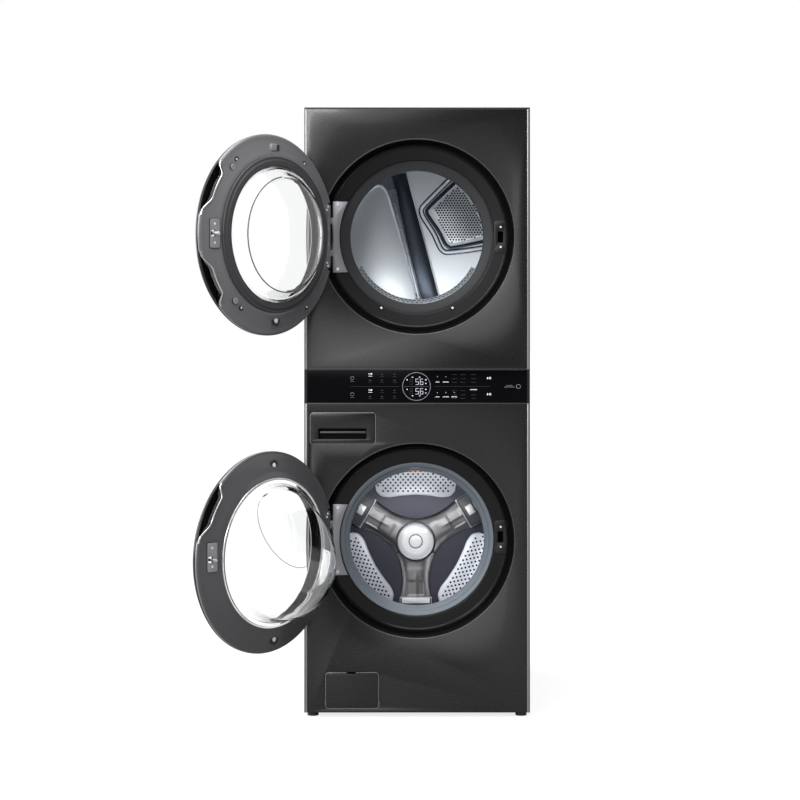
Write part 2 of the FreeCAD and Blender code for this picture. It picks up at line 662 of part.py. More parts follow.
def drum_fin(name, i, size, corner):
    """A straight block on the drum's wall, as a fin or as the hollow pressed into its back."""
    fin = doc.addObject("Part::Box", name)
    for side, text in zip(("Length", "Width", "Height"), size):
        bind(fin, side, text)
    spin = FreeCAD.Placement(FreeCAD.Vector(), FreeCAD.Rotation(FreeCAD.Vector(0, 1, 0), 40 + 120 * i))
    across, along, up = corner
    fin.Placement = spin.multiply(rest_of(x=across, y=SIZES["dryer_drum_front"] + along,
                                          z=-SIZES["dryer_drum_radius"] + up))
    return fin


def make_air_path():
    """The fan housing with its outlet pipe to the back, and the fan wheel in it."""
    at = ("motor_across", "motor_height")
    duct = ("duct_across", "duct_height")
    outer = joined("fan_outer", rod("fan_case", "fan_radius + 10", "120", "190", "y", at),
                   block("fan_bridge", ("duct_across", "motor_across"), ("120", "190"),
                         ("duct_height - duct_radius", "duct_height + duct_radius")),
                   rod("fan_pipe", "duct_radius - 0.8", "120", "cabinet_depth + 2", "y", duct),
                   rod("fan_collar", "duct_radius", "cabinet_depth + 1", "cabinet_depth + 25", "y", duct))
    inner = joined("fan_inner", rod("fan_case_in", "fan_radius + 7", "122", "188", "y", at),
                   block("fan_bridge_in", ("duct_across", "motor_across"), ("122", "188"),
                         ("duct_height - duct_radius + 2", "duct_height + duct_radius - 2")),
                   rod("fan_pipe_in", "duct_radius - 1.8", "122", "cabinet_depth + 50", "y", duct),
                   rod("fan_eye", "34", "110", "130", "y", at),
                   rod("fan_shaft_hole", "7", "180", "200", "y", at))
    part("blower_housing", less("fan_housing", outer, inner), FACE)
    wheel = joined("wheel_solid", rod("wheel_back", "fan_radius", "178", "181", "y", at),
                   *[blade(i) for i in range(8)])
    part("blower_wheel", less("wheel", wheel, rod("wheel_bore", "5.05", "100", "200", "y", at)), FACE)


def blade(i):
    """One of the fan's straight blades."""
    thing = doc.addObject("Part::Box", f"blade_{i}")
    bind(thing, "Length", "2")
    bind(thing, "Width", "48")
    bind(thing, "Height", "fan_radius - 30")
    spin = FreeCAD.Placement(FreeCAD.Vector(), FreeCAD.Rotation(FreeCAD.Vector(0, 1, 0), 45 * i))
    centre = rest_of(x=SIZES["motor_across"], z=SIZES["motor_height"])
    thing.Placement = centre.multiply(spin).multiply(rest_of(x=-1, y=130.5, z=30))
    return thing


def make_drive():
    """The dryer's motor on the deck, its shaft with the belt pulley, and the belt round the drum."""
    at = ("motor_across", "motor_height")
    can = joined("motor_can", rod("motor_body", "56", "220", "360", "y", at),
                 block("motor_foot", ("motor_across - 40", "motor_across + 40"), ("240", "340"),
                       ("deck_height + 0.1", "1130")))
    part("dryer_motor", less("motor_open", can, rod("motor_bore", "5.05", "200", "380", "y", at)), FACE)
    shaft = joined("shaft", rod("shaft_rod", "5", "132", "398", "y", at),
                   rod("pulley", "pulley_radius", "376", "392", "y", at))
    part("motor_pulley", shaft, FACE)
    part("drive_belt", make_belt(), FACE)


def make_belt():
    """A flat belt on the shortest way round the drum and the pulley."""
    belt = doc.addObject("Part::Feature", "belt")
    gap = 0.4
    thickness = 1.6
    low = 378
    width = 12
    drum = FreeCAD.Vector(0, low, number("dryer_height"))
    pulley = FreeCAD.Vector(number("motor_across"), low, number("motor_height"))

    def loop(grow):
        """The face inside the belt line, as the two circles and the strip between their outer tangents."""
        big = number("dryer_drum_radius") + grow
        small = number("pulley_radius") + grow
        along = pulley - drum
        span = along.Length
        along.normalize()
        across = FreeCAD.Vector(-along.z, 0, along.x)
        lean = (big - small) / span
        rise = math.sqrt(1 - lean * lean)
        ends = []
        for s in (1, -1):
            normal = along * lean + across * (s * rise)
            ends.append((drum + normal * big, pulley + normal * small))
        (a, b), (c, d) = ends
        strip = Part.Face(Part.makePolygon([a, b, d, c, a]))
        discs = [Part.Face(Part.Wire(Part.makeCircle(r, centre, FreeCAD.Vector(0, 1, 0))))
                 for centre, r in ((drum, big), (pulley, small))]
        solids = [face.extrude(FreeCAD.Vector(0, width, 0)) for face in [strip, *discs]]
        return solids[0].fuse(solids[1:]).removeSplitter()

    belt.Shape = loop(gap + thickness).cut(loop(gap))
    return belt


def make_lint_filter():
    """The lint screen that lifts up out of the dryer's mouth."""
    screen = pan("screen", ("-66", "66"), ("64", "80"), ("-370", "-210"), "1.5", "+z")
    lip = block("screen_lip", ("-68", "68"), ("63", "81"), ("-212", "-207"))
    mesh_window = block("screen_window", ("-58", "58"), ("78", "85"), ("-360", "-222"))
    part("lint_filter", less("lint", joined("lint_solid", screen, lip), mesh_window), DRYER)


# ---------------------------------------------------------------- doors

def hinge_leaf(word):
    """The door's half of the hinge: a leaf inside the door's edge with two knuckles beyond the cabinet's."""
    leaf = block(f"{word}_leaf", ("-270", "-262"), ("-12", "6"), ("-100", "100"))
    pieces = [leaf]
    for s in (-1, 1):
        side = "low" if s < 0 else "high"
        z = ("57.4", "72") if s > 0 else ("-72", "-57.4")
        pieces.append(rod(f"{word}_leaf_knuckle_{side}", "knuckle_radius", *z, "z",
                          ("-hinge_reach", "-hinge_proud")))
        pieces.append(block(f"{word}_leaf_arm_{side}", ("-hinge_reach", "-262"),
                            ("-hinge_proud - 3", "-hinge_proud + 3"), z))
    bore = rod(f"{word}_leaf_bore", "pin_radius + pin_clearance", "-150", "150", "z",
               ("-hinge_reach", "-hinge_proud"))
    return less(f"{word}_leaf_bored", joined(f"{word}_leaf_solid", *pieces), bore)


def notches(word):
    """The gaps in a door's rim that clear the hinge knuckles and, as it swings, the cabinet's hinge arms."""
    gaps = []
    for side, s in (("low", "-1"), ("high", "1")):
        middle = f"{s} * (knuckle_height + 6)"
        gaps.append(block(f"{word}_knuckle_gap_{side}", ("-305", "-278"), ("-17", "10"),
                          (f"{middle} - 17", f"{middle} + 17")))
        centre = f"{s} * knuckle_height"
        gaps.append(block(f"{word}_arm_gap_{side}", ("-305", "-282.5"), ("-40", "10"),
                          (f"{centre} - 10", f"{centre} + 10")))
    return gaps


def rim_bite(name, low, high):
    """A wedge round the door's edge between two angles, measured from the latch side."""
    ring = turned(name, [("270", "-2"), ("305", "-2"), ("305", "20"), ("270", "20")])
    ring.getObject(f"{name}_turn").Angle = high - low
    ring.Placement = FreeCAD.Placement(FreeCAD.Vector(), FreeCAD.Rotation(FreeCAD.Vector(0, 1, 0), -high))
    return ring


def door_shell(word, liner_points, bites):
    """The outer ring and the inner liner of one door."""
    ring = [("door_radius", "0"), ("door_radius", "-8"), ("door_radius - 8", "-19"), ("264", "-27"),
            ("226", "-30"),
            ("226", "-27"), ("263", "-24"), ("door_radius - 10", "-16.4"), ("door_radius - 3", "-6.5"),
            ("door_radius - 3", "0")]
    frame = less(f"{word}_ring_cut", turned(f"{word}_ring", ring), *notches(f"{word}_ring"))
    liner = turned(f"{word}_inner", liner_points)
    hinge_space = block(f"{word}_hinge_space", ("-305", "-261.5"), ("-10", "40"), ("-105", "105"))
    latch_space = block(f"{word}_latch_space", ("250.8", "266"), ("-20", "40"), ("-14", "22"))
    cuts = [rim_bite(f"{word}_bite_{i}", low, high) for i, (low, high) in enumerate(bites)]
    return frame, less(f"{word}_liner_cut", liner, hinge_space, latch_space, *cuts)


def dome(name):
    """The clear outer face of a door, bowed outwards, as a shell of short facets."""
    steps = [0, 60, 120, 180, 225.5]
    rise = [8.5 * (1 - (r / 225.5) ** 2) for r in steps]
    outer = [(str(r), f"-29.5 - {up}") for r, up in zip(steps, rise)]
    inner = [(str(r), f"-26 - {up}") for r, up in zip(steps, rise)]
    return turned(name, outer + inner[::-1])


def make_dryer_door():
    """Open dryer door: ring, liner, outer glass, clear inner dish, seal, hinge leaf and strike."""
    liner = [("door_radius - 0.6", "0.3"), ("door_radius - 0.6", "4"), ("281", "11"), ("252", "22"),
             ("236", "29"), ("201", "29"),
             ("201", "26"), ("234", "26"), ("250", "19"), ("279", "8"), ("door_radius - 5", "0.3")]
    frame, inner = door_shell("dryer_door", liner, DRYER_GRIPS)
    part("dryer_door_frame", frame, DRYER_DOOR)
    part("dryer_door_liner", inner, DRYER_DOOR)
    part("dryer_door_glass", dome("dryer_dome"), DRYER_DOOR)
    dish = [("200.5", "24"), ("200.5", "31"), ("196", "48"), ("190", "49"), ("172", "74"), ("164", "77"),
            ("0", "77"), ("0", "73"),
            ("162", "73"), ("169", "70"), ("187", "45"), ("192", "44"), ("196.5", "30"), ("196.5", "24")]
    part("dryer_door_window", turned("dryer_dish", dish), DRYER_DOOR)
    seal = [("202", "29.3"), ("231", "29.3"), ("231", "36"), ("222", "43"), ("205", "43"), ("202", "36")]
    part("dryer_door_seal", turned("dryer_seal_ring", seal), DRYER_DOOR)
    part("dryer_door_hinge", hinge_leaf("dryer_door"), DRYER_DOOR)
    strike = joined("strike", block("strike_base", ("250", "266"), ("4", "7"), ("-20", "20")),
                    block("strike_post", ("255", "262"), ("-24", "5"), ("-8", "8")),
                    block("strike_stem", ("256", "262"), ("6", "46"), ("-5", "5")),
                    block("strike_head", ("254.5", "263.5"), ("40", "46"), ("-5", "5")))
    part("dryer_door_strike", strike, DRYER_DOOR)


def make_washer_door():
    """Open washer door: ring, liner, outer glass, deep glass bowl, hinge leaf and hook."""
    liner = [("door_radius - 0.6", "0.3"), ("door_radius - 0.6", "4"), ("281", "11"), ("252", "22"),
             ("236", "30"), ("218", "33"),
             ("218", "30"), ("234", "27"), ("250", "19"), ("279", "8"), ("door_radius - 5", "0.3")]
    frame, inner = door_shell("washer_door", liner, WASHER_GRIPS)
    part("washer_door_frame", frame, WASHER_DOOR)
    part("washer_door_liner", inner, WASHER_DOOR)
    part("washer_door_glass", dome("washer_dome"), WASHER_DOOR)
    bowl = [("217.5", "30"), ("217.5", "34"), ("208", "37"), ("203", "45"), ("192", "90"), ("170", "135"),
            ("130", "160"),
            ("0", "166"), ("0", "161"), ("128", "155"), ("166", "131"), ("187", "88"), ("198", "44"),
            ("204", "33"), ("208", "30")]
    part("washer_door_bowl", turned("washer_glass_bowl", bowl), WASHER_DOOR)
    part("washer_door_hinge", hinge_leaf("washer_door"), WASHER_DOOR)
    hook = joined("hook_solid", block("hook_root", ("255", "263"), ("-4", "10"), ("4", "12")),
                  block("hook_stem", ("257", "261"), ("9", "46"), ("4", "12")),
                  block("hook_tip", ("255", "261"), ("39", "46"), ("4", "12")))
    part("washer_door_hook", hook, WASHER_DOOR)


# ---------------------------------------------------------------- drawer

def make_drawer():
    """The drawer's painted front with its finger slot, and the two-compartment tray behind it."""
    face = block("drawer_face", ("drawer_left", "drawer_right"), ("-1", "14"),
                 ("drawer_low", "drawer_high"))
    slot = block("finger_slot", ("-306", "-157"), ("-5", "11"), ("862", "895"))
    part("drawer_front", less("drawer_face_slot", face, slot), FACE)
    outer = block("tray_outer", ("drawer_left + 8", "drawer_right - 8"), ("14", "drawer_length"),
                  ("drawer_low + 8", "drawer_high - 14"))
    middle = -231
    left = block("tray_left", ("drawer_left + 11", f"{middle} - 1.5"), ("17", "drawer_length - 3"),
                 ("drawer_low + 11", "drawer_high"))
    right = block("tray_right", (f"{middle} + 1.5", "drawer_right - 11"), ("17", "drawer_length - 3"),
                  ("drawer_low + 11", "drawer_high"))
    part("drawer_tray", less("tray", outer, left, right), FACE)


def check_and_save():
    """Stop at a failed or empty piece; otherwise write each sub-part."""
    doc.recompute()
    failed = [thing.Name for thing in doc.Objects if {"Invalid", "Error"} & set(thing.State)]
    if failed:
        raise SystemExit(f"failed: {failed}")
    os.makedirs("parts", exist_ok=True)
    for thing in finished:
        if thing.Shape.isNull() or not thing.Shape.isValid() or not thing.Shape.Solids:
            raise SystemExit(f"bad shape: {thing.Label}")
        thing.Shape.exportStep(f"parts/{thing.Label}.step")
    print(len(finished), "sub-parts written")


for make in (make_base_frame, make_feet, make_side_panels, make_top_panel, make_front_panels,
             make_rear_panel, make_console,
             make_middle_deck, make_door_surrounds, make_cabinet_hinges, make_locks, make_screws,
             make_gasket,
             make_drawer_housing, make_water_fittings, make_pump, make_flap, make_terminal_cover, make_tub,
             make_suspension,
             make_washer_drum, make_dryer_bulkheads, make_dryer_drum, make_air_path, make_drive,
             make_lint_filter,
             make_dryer_door, make_washer_door, make_drawer):
    make()
check_and_save()
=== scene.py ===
"""The laundry tower's looks: painted steel cabinet, open glass doors, steel drums and a lit console.

Sizes are millimetres until a piece is finished, which turns it to metres. Round pieces are spun about
their own Y axis, which points into the machine, and then put in place. Angles in the round are seen
from the front.
"""

import json
import math

import bmesh
import bpy
from mathutils import Matrix, Vector


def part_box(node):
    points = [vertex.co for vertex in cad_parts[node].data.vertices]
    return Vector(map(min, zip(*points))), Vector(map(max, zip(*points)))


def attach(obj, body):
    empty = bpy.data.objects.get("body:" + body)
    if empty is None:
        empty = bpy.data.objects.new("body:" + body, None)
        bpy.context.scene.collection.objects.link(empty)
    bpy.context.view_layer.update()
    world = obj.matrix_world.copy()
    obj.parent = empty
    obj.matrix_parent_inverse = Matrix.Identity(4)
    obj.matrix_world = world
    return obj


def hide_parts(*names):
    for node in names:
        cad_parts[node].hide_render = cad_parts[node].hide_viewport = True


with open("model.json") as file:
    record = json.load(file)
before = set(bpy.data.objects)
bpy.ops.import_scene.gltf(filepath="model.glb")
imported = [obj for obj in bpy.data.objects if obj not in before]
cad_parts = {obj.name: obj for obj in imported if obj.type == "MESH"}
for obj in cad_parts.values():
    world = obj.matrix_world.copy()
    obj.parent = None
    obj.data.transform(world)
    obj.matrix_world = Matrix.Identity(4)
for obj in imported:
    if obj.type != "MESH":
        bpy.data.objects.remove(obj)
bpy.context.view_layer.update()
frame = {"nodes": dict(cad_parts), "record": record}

MM = 0.001
JOINTS = {joint["name"]: joint for joint in frame["record"]["behaviour"]["joints"]}
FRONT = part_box("side_panels")[0][1] / MM
WASHER_Z = JOINTS["washer_door_hinge_turn"]["pos_m"][2] / MM
DRYER_Z = JOINTS["dryer_door_hinge_turn"]["pos_m"][2] / MM
HALF_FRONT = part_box("lower_front_panel")[1][0] / MM
CONSOLE_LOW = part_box("control_panel_housing")[0][2] / MM
CONSOLE_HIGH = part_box("control_panel_housing")[1][2] / MM
PANEL_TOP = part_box("upper_front_panel")[1][2] / MM
PANEL_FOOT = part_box("lower_front_panel")[0][2] / MM
RECESS = 302
TUB_TILT = math.radians(10)
TUB_START = 100
SHEET = 1.2
PRINT_FRONT, PRINT_BACK = -1.2, -1.0
HINGE_X, HINGE_Y = -280, -10
HINGE_ARM_Z = 51
CORNER_STEPS = 4
ROUND_STEPS = 8
BOSS_STEPS = 24
HOLE_RADIUS = 3.5
INLET_RADIUS = 238
DRYER_WALL = 648


def move(x=0, y=0, z=0):
    return Matrix.Translation((x, y, z))


def turn(degrees, axis):
    return Matrix.Rotation(math.radians(degrees), 4, axis)


def door_place(joint):
    """An open door's own frame, from its hinge: the origin is the door's centre."""
    hinge = Vector(JOINTS[joint]["pos_m"]) / MM
    centre = move(-hinge.x, FRONT - hinge.y, 0)
    return Matrix.Translation(hinge) @ turn(-JOINTS[joint]["range_deg"][1], "Z") @ centre


FACE = move(y=FRONT)
WASHER = move(y=FRONT, z=WASHER_Z)
DRYER = move(y=FRONT, z=DRYER_Z)
TUB = move(y=FRONT + TUB_START, z=WASHER_Z) @ Matrix.Rotation(-TUB_TILT, 4, "X")
DRYER_DOOR = door_place("dryer_door_hinge_turn")
WASHER_DOOR = door_place("washer_door_hinge_turn")


# ---------------------------------------------------------------- finishes

def grain_group():
    """Fine uneven grain: a stretched noise that gives a factor and a height."""
    group = bpy.data.node_groups.new("fine_grain", "ShaderNodeTree")
    for name, kind, default in (("Scale", "NodeSocketFloat", 200.0),
                                ("Stretch", "NodeSocketVector", (1, 1, 1))):
        socket = group.interface.new_socket(name, in_out="INPUT", socket_type=kind)
        socket.default_value = default
    group.interface.new_socket("Fac", in_out="OUTPUT", socket_type="NodeSocketFloat")
    nodes, links = group.nodes, group.links
    entry, leave = nodes.new("NodeGroupInput"), nodes.new("NodeGroupOutput")
    place = nodes.new("ShaderNodeTexCoord")
    stretch = nodes.new("ShaderNodeVectorMath")
    stretch.operation = "MULTIPLY"
    links.new(place.outputs["Object"], stretch.inputs[0])
    links.new(entry.outputs["Stretch"], stretch.inputs[1])
    fine, broad = nodes.new("ShaderNodeTexNoise"), nodes.new("ShaderNodeTexNoise")
    fine.inputs["Detail"].default_value = 4
    broad.inputs["Scale"].default_value = 2.5
    links.new(entry.outputs["Scale"], fine.inputs["Scale"])
    for noise in (fine, broad):
        links.new(stretch.outputs[0], noise.inputs["Vector"])
    both = nodes.new("ShaderNodeMath")
    both.operation = "MULTIPLY_ADD"
    both.inputs[1].default_value = 0.7
    soften = nodes.new("ShaderNodeMath")
    soften.operation = "MULTIPLY"
    soften.inputs[1].default_value = 0.3
    links.new(broad.outputs["Fac"], soften.inputs[0])
    links.new(fine.outputs["Fac"], both.inputs[0])
    links.new(soften.outputs[0], both.inputs[2])
    links.new(both.outputs[0], leave.inputs["Fac"])
    return group


GRAIN = grain_group()


def finish(name, colour, rough, metal=0.0, coat=0.0, scale=200.0, stretch=(1, 1, 1), vary=0.12,
           rough_vary=0.06,
           bump=0.05, specular=0.5, glow=None, clear=False):
    """One finish: a base colour and roughness that both vary with the grain, and a slight relief."""
    material = bpy.data.materials.new(name)
    material.use_nodes = True
    nodes, links = material.node_tree.nodes, material.node_tree.links
    shader = nodes["Principled BSDF"]
    shader.inputs["Metallic"].default_value = metal
    shader.inputs["Coat Weight"].default_value = coat
    shader.inputs["Coat Roughness"].default_value = 0.06
    shader.inputs["Specular IOR Level"].default_value = specular
    grain = nodes.new("ShaderNodeGroup")
    grain.node_tree = GRAIN
    grain.inputs["Scale"].default_value = scale
    grain.inputs["Stretch"].default_value = stretch
    tint = nodes.new("ShaderNodeMix")
    tint.data_type = "RGBA"
    tint.inputs["A"].default_value = (*(c * (1 - vary) for c in colour), 1)
    tint.inputs["B"].default_value = (*(min(1, c * (1 + vary)) for c in colour), 1)
    links.new(grain.outputs["Fac"], tint.inputs["Factor"])
    links.new(tint.outputs["Result"], shader.inputs["Base Color"])
    spread = nodes.new("ShaderNodeMapRange")
    spread.inputs["To Min"].default_value = max(0, rough - rough_vary)
    spread.inputs["To Max"].default_value = min(1, rough + rough_vary)
    links.new(grain.outputs["Fac"], spread.inputs["Value"])
    links.new(spread.outputs["Result"], shader.inputs["Roughness"])
    relief = nodes.new("ShaderNodeBump")
    relief.inputs["Strength"].default_value = bump
    relief.inputs["Distance"].default_value = 0.0005
    links.new(grain.outputs["Fac"], relief.inputs["Height"])
    links.new(relief.outputs["Normal"], shader.inputs["Normal"])
    if glow:
        shader.inputs["Emission Color"].default_value = (*colour, 1)
        shader.inputs["Emission Strength"].default_value = glow
    if clear:
        shader.inputs["Transmission Weight"].default_value = 1
        shader.inputs["IOR"].default_value = 1.45
    return material


M = {
    "panel": finish("dark_steel_panel", (0.062, 0.060, 0.061), 0.27, metal=0.9, coat=0.25, scale=60,
                    stretch=(0.6, 0.6, 14),
                    vary=0.05, bump=0.01),
    "side": finish("graphite_side", (0.10, 0.10, 0.105), 0.34, metal=0.6, coat=0.2, scale=300),
    # edge: a light grey painted on folded edges and rims as their highlight
    "edge": finish("painted_edge_highlight", (0.50, 0.50, 0.51), 0.3, metal=0.7, scale=200, bump=0.0, vary=0.03,
                   rough_vary=0.02),
    "zinc": finish("spangled_zinc", (0.52, 0.53, 0.54), 0.38, metal=0.9, scale=60, vary=0.2),
    "black_gloss": finish("black_gloss_moulding", (0.010, 0.010, 0.011), 0.14, coat=0.3, scale=400,
                          bump=0.02),
    "recess": finish("recess_moulding", (0.0075, 0.0068, 0.0066), 0.2, scale=500, bump=0.02, specular=0.35),
    "mouth": finish("mouth_moulding", (0.028, 0.029, 0.032), 0.48, scale=500, bump=0.04, specular=0.35),
    "black_satin": finish("black_satin_moulding", (0.012, 0.0115, 0.012), 0.32, scale=500, bump=0.06),
    "console": finish("console_glass", (0.0012, 0.0010, 0.0022), 0.06, scale=100, bump=0.0, vary=0.2,
                      specular=0.16,
                      rough_vary=0.01),
    "void": finish("deep_black", (0.002, 0.002, 0.002), 0.6, scale=300, specular=0.1),
    "rubber": finish("blue_grey_rubber", (0.17, 0.195, 0.225), 0.42, scale=500, bump=0.12, specular=0.4),
    "seal": finish("black_rubber", (0.048, 0.048, 0.053), 0.45, scale=600, bump=0.12),
    "liner": finish("grey_door_liner", (0.17, 0.17, 0.177), 0.3, coat=0.3, scale=350, bump=0.04),
    "liner_dark": finish("dark_door_liner", (0.085, 0.086, 0.089), 0.3, coat=0.25, scale=350, bump=0.04),
    "plate": finish("grey_latch_plate", (0.26, 0.26, 0.265), 0.3, coat=0.2, scale=350, bump=0.04),
    "chrome": finish("bright_chrome", (0.86, 0.86, 0.87), 0.12, metal=1.0, scale=300, bump=0.01, vary=0.04,
                     rough_vary=0.03),
    "bracket": finish("satin_steel", (0.42, 0.42, 0.44), 0.36, metal=0.9, scale=400, bump=0.04),
    "drum": finish("drum_steel", (0.70, 0.72, 0.74), 0.28, metal=1.0, scale=90, stretch=(1, 8, 1),
                   bump=0.02, vary=0.05),
    "back_light": finish("back_wall_steel", (0.60, 0.64, 0.67), 0.38, metal=0.75, scale=120, bump=0.02,
                         vary=0.04),
    # Two darker copies of the back wall steel: painted shade, full and half.
    "back_shade": finish("back_steel_painted_shade", (0.035, 0.042, 0.055), 0.25, metal=0.85, scale=120,
                        bump=0.02),
    "back_half_shade": finish("back_steel_half_shade", (0.20, 0.22, 0.25), 0.28, metal=0.85, scale=120, bump=0.02),
    "spider": finish("polished_spider", (0.19, 0.188, 0.192), 0.34, metal=1.0, scale=40, bump=0.0,
                     vary=0.05),
    "lobe": finish("dark_polished_back", (0.045, 0.046, 0.062), 0.34, metal=0.6, scale=80, bump=0.02,
                   specular=0.3),
    "paddle": finish("grey_paddle", (0.050, 0.058, 0.066), 0.34, scale=200, bump=0.04),
    "perforated": finish("perforated_steel", (0.74, 0.77, 0.84), 0.4, metal=0.3, scale=150, bump=0.02,
                         vary=0.05),
    "cap": finish("hub_cap_steel", (0.92, 0.92, 0.94), 0.3, metal=0.25, coat=0.2, scale=300, bump=0.01,
                  vary=0.02),
    "glass": finish("clear_glass", (0.985, 0.99, 0.99), 0.012, clear=True, bump=0.0, vary=0.004,
                    rough_vary=0.008),
    # A dark finish for lines along the glass steps: painted shade standing for how dark the glass edges look.
    "glass_edge_dark": finish("glass_edge_painted_dark", (0.10, 0.10, 0.11), 0.3, scale=200, bump=0.0),
    "white": finish("off_white_moulding", (0.62, 0.63, 0.63), 0.4, scale=300, bump=0.06),
    "grey": finish("grey_moulding", (0.30, 0.31, 0.32), 0.42, scale=300, bump=0.08),
    "cast": finish("rough_casting", (0.22, 0.22, 0.215), 0.7, scale=90, bump=0.5, vary=0.25),
    "motor": finish("lacquered_core", (0.10, 0.10, 0.105), 0.45, metal=0.7, scale=150, bump=0.1),
    "board": finish("circuit_board", (0.03, 0.16, 0.07), 0.45, scale=250, vary=0.3),
    "lit": finish("lit_mark", (0.72, 0.74, 0.80), 0.4, glow=0.7, bump=0.0),
    "dim": finish("dim_mark", (0.055, 0.055, 0.07), 0.4, glow=0.10, bump=0.0, specular=0.1),
    "ring": finish("soft_mark", (0.24, 0.24, 0.27), 0.4, glow=0.3, bump=0.0),
    "blue_mark": finish("blue_mark", (0.10, 0.30, 0.55), 0.5, bump=0.05),
    "orange_mark": finish("orange_mark", (0.60, 0.22, 0.05), 0.5, bump=0.05),
}


# ---------------------------------------------------------------- making pieces

def piece(name, bm, finish_name, body, *replaced, slot=None, place=None, smooth=40, outward=True):
    """Turn a bmesh in millimetres into a finished piece that rides on a body."""
    if place is not None:
        bm.transform(place)
    bmesh.ops.remove_doubles(bm, verts=bm.verts, dist=0.01)
    if outward:
        bmesh.ops.recalc_face_normals(bm, faces=bm.faces)
    bm.transform(Matrix.Scale(MM, 4))
    mesh = bpy.data.meshes.new(name)
    bm.to_mesh(mesh)
    bm.free()
    mesh.shade_smooth()
    mesh.set_sharp_from_angle(angle=math.radians(smooth))
    mesh.materials.append(M[finish_name])
    thing = bpy.data.objects.new(name, mesh)
    bpy.context.scene.collection.objects.link(thing)
    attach(thing, body)
    if replaced:
        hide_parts(*replaced)
    return thing


def eased(points, radius=1.0, closed=True):
    """The outline with each corner turned into a short arc."""
    result = []
    count = len(points)
    for i, here in enumerate(points):
        if not closed and i in (0, count - 1):
            result.append(Vector(here))
            continue
        at = Vector(here)
        before, after = Vector(points[i - 1]) - at, Vector(points[(i + 1) % count]) - at
        reach = min(radius, before.length * 0.45, after.length * 0.45)
        start, end = at + before.normalized() * reach, at + after.normalized() * reach
        for k in range(CORNER_STEPS + 1):
            t = k / CORNER_STEPS
            result.append(start * (1 - t) ** 2 + at * (2 * t * (1 - t)) + end * t * t)
    return result


def spun(points, steps=160, radius=1.0, closed=True, angle=360):
    """A bmesh turned about Y from (radius, depth) corners. An open outline starts and ends on the axis."""
    bm = bmesh.new()
    ring = [bm.verts.new((p[0], p[1], 0)) for p in eased(points, radius, closed=closed)]
    edges = [bm.edges.new(pair) for pair in zip(ring, ring[1:] + ring[:1] if closed else ring[1:])]
    bmesh.ops.spin(bm, geom=ring + edges, cent=(0, 0, 0), axis=(0, 1, 0), angle=math.radians(angle),
                   steps=steps,
                   use_merge=angle == 360, use_duplicate=False)
    bmesh.ops.remove_doubles(bm, verts=bm.verts, dist=0.001)
    return bm


def slab(low, high, bevel=1.0, segments=3):
    """A box between two corners with softened edges."""
    bm = bmesh.new()
    size = Vector(high) - Vector(low)
    middle = (Vector(high) + Vector(low)) / 2
    bmesh.ops.create_cube(bm, size=1, matrix=Matrix.Translation(middle) @ Matrix.Diagonal((*size, 1)))
    if bevel:
        bmesh.ops.bevel(bm, geom=bm.edges[:], offset=min(bevel, min(size) * 0.45), offset_type="OFFSET",
                        affect="EDGES",
                        segments=segments, profile=0.5, material=-1, clamp_overlap=True)
    return bm


def disc(x, z, radius, depth, height, bevel=0.6):
    """A short round boss standing towards the front from a depth, on an axis along Y."""
    points = [(0, depth), (0, depth - height), (radius, depth - height), (radius, depth)]
    bm = spun(points, steps=BOSS_STEPS, radius=bevel, closed=False)
    bm.transform(move(x, 0, z))
    return bm


def merged(*parts):
    """Several bmeshes as one."""
    whole = bmesh.new()
    for bm in parts:
        mesh = bpy.data.meshes.new("part")
        bm.to_mesh(mesh)
        bm.free()
        whole.from_mesh(mesh)
        bpy.data.meshes.remove(mesh)
    return whole


def rounded(x0, x1, z0, z1, radius):
    """A rectangle with round corners, as (x, z) points."""
    points = []
    for cx, cz, start in ((x1 - radius, z1 - radius, 0), (x0 + radius, z1 - radius, 90),
                          (x0 + radius, z0 + radius, 180),
                          (x1 - radius, z0 + radius, 270)):
        for k in range(ROUND_STEPS + 1):
            a = math.radians(start + 90 * k / ROUND_STEPS)
            points.append((cx + radius * math.cos(a), cz + radius * math.sin(a)))
    return points


def circle(x, z, radius, steps=160):
    return [(x + radius * math.cos(2 * math.pi * k / steps), z + radius * math.sin(2 * math.pi * k / steps))
            for k in range(steps)]


def sheet(loops, front, back, edge=0.4):
    """A flat piece with holes, between two depths, from closed loops of (x, z); its edges are softened."""
    curve = bpy.data.curves.new("sheet", "CURVE")
    curve.dimensions = "2D"
    curve.fill_mode = "BOTH"
    curve.extrude = (back - front) / 2 - edge
    curve.bevel_depth = edge
    curve.bevel_resolution = 1
    curve.offset = -edge
    for loop in loops:
        spline = curve.splines.new("POLY")
        spline.points.add(len(loop) - 1)
        for point, (x, z) in zip(spline.points, loop):
            point.co = (x, z, 0, 1)
        spline.use_cyclic_u = True
    holder = bpy.data.objects.new("sheet", curve)
    bm = bmesh.new()
    mesh = bpy.data.meshes.new_from_object(holder)
    bm.from_mesh(mesh)
    bpy.data.meshes.remove(mesh)
    bpy.data.objects.remove(holder)
    bmesh.ops.remove_doubles(bm, verts=bm.verts, dist=0.005)
    bm.transform(move(y=(front + back) / 2) @ turn(90, "X"))
    return bm


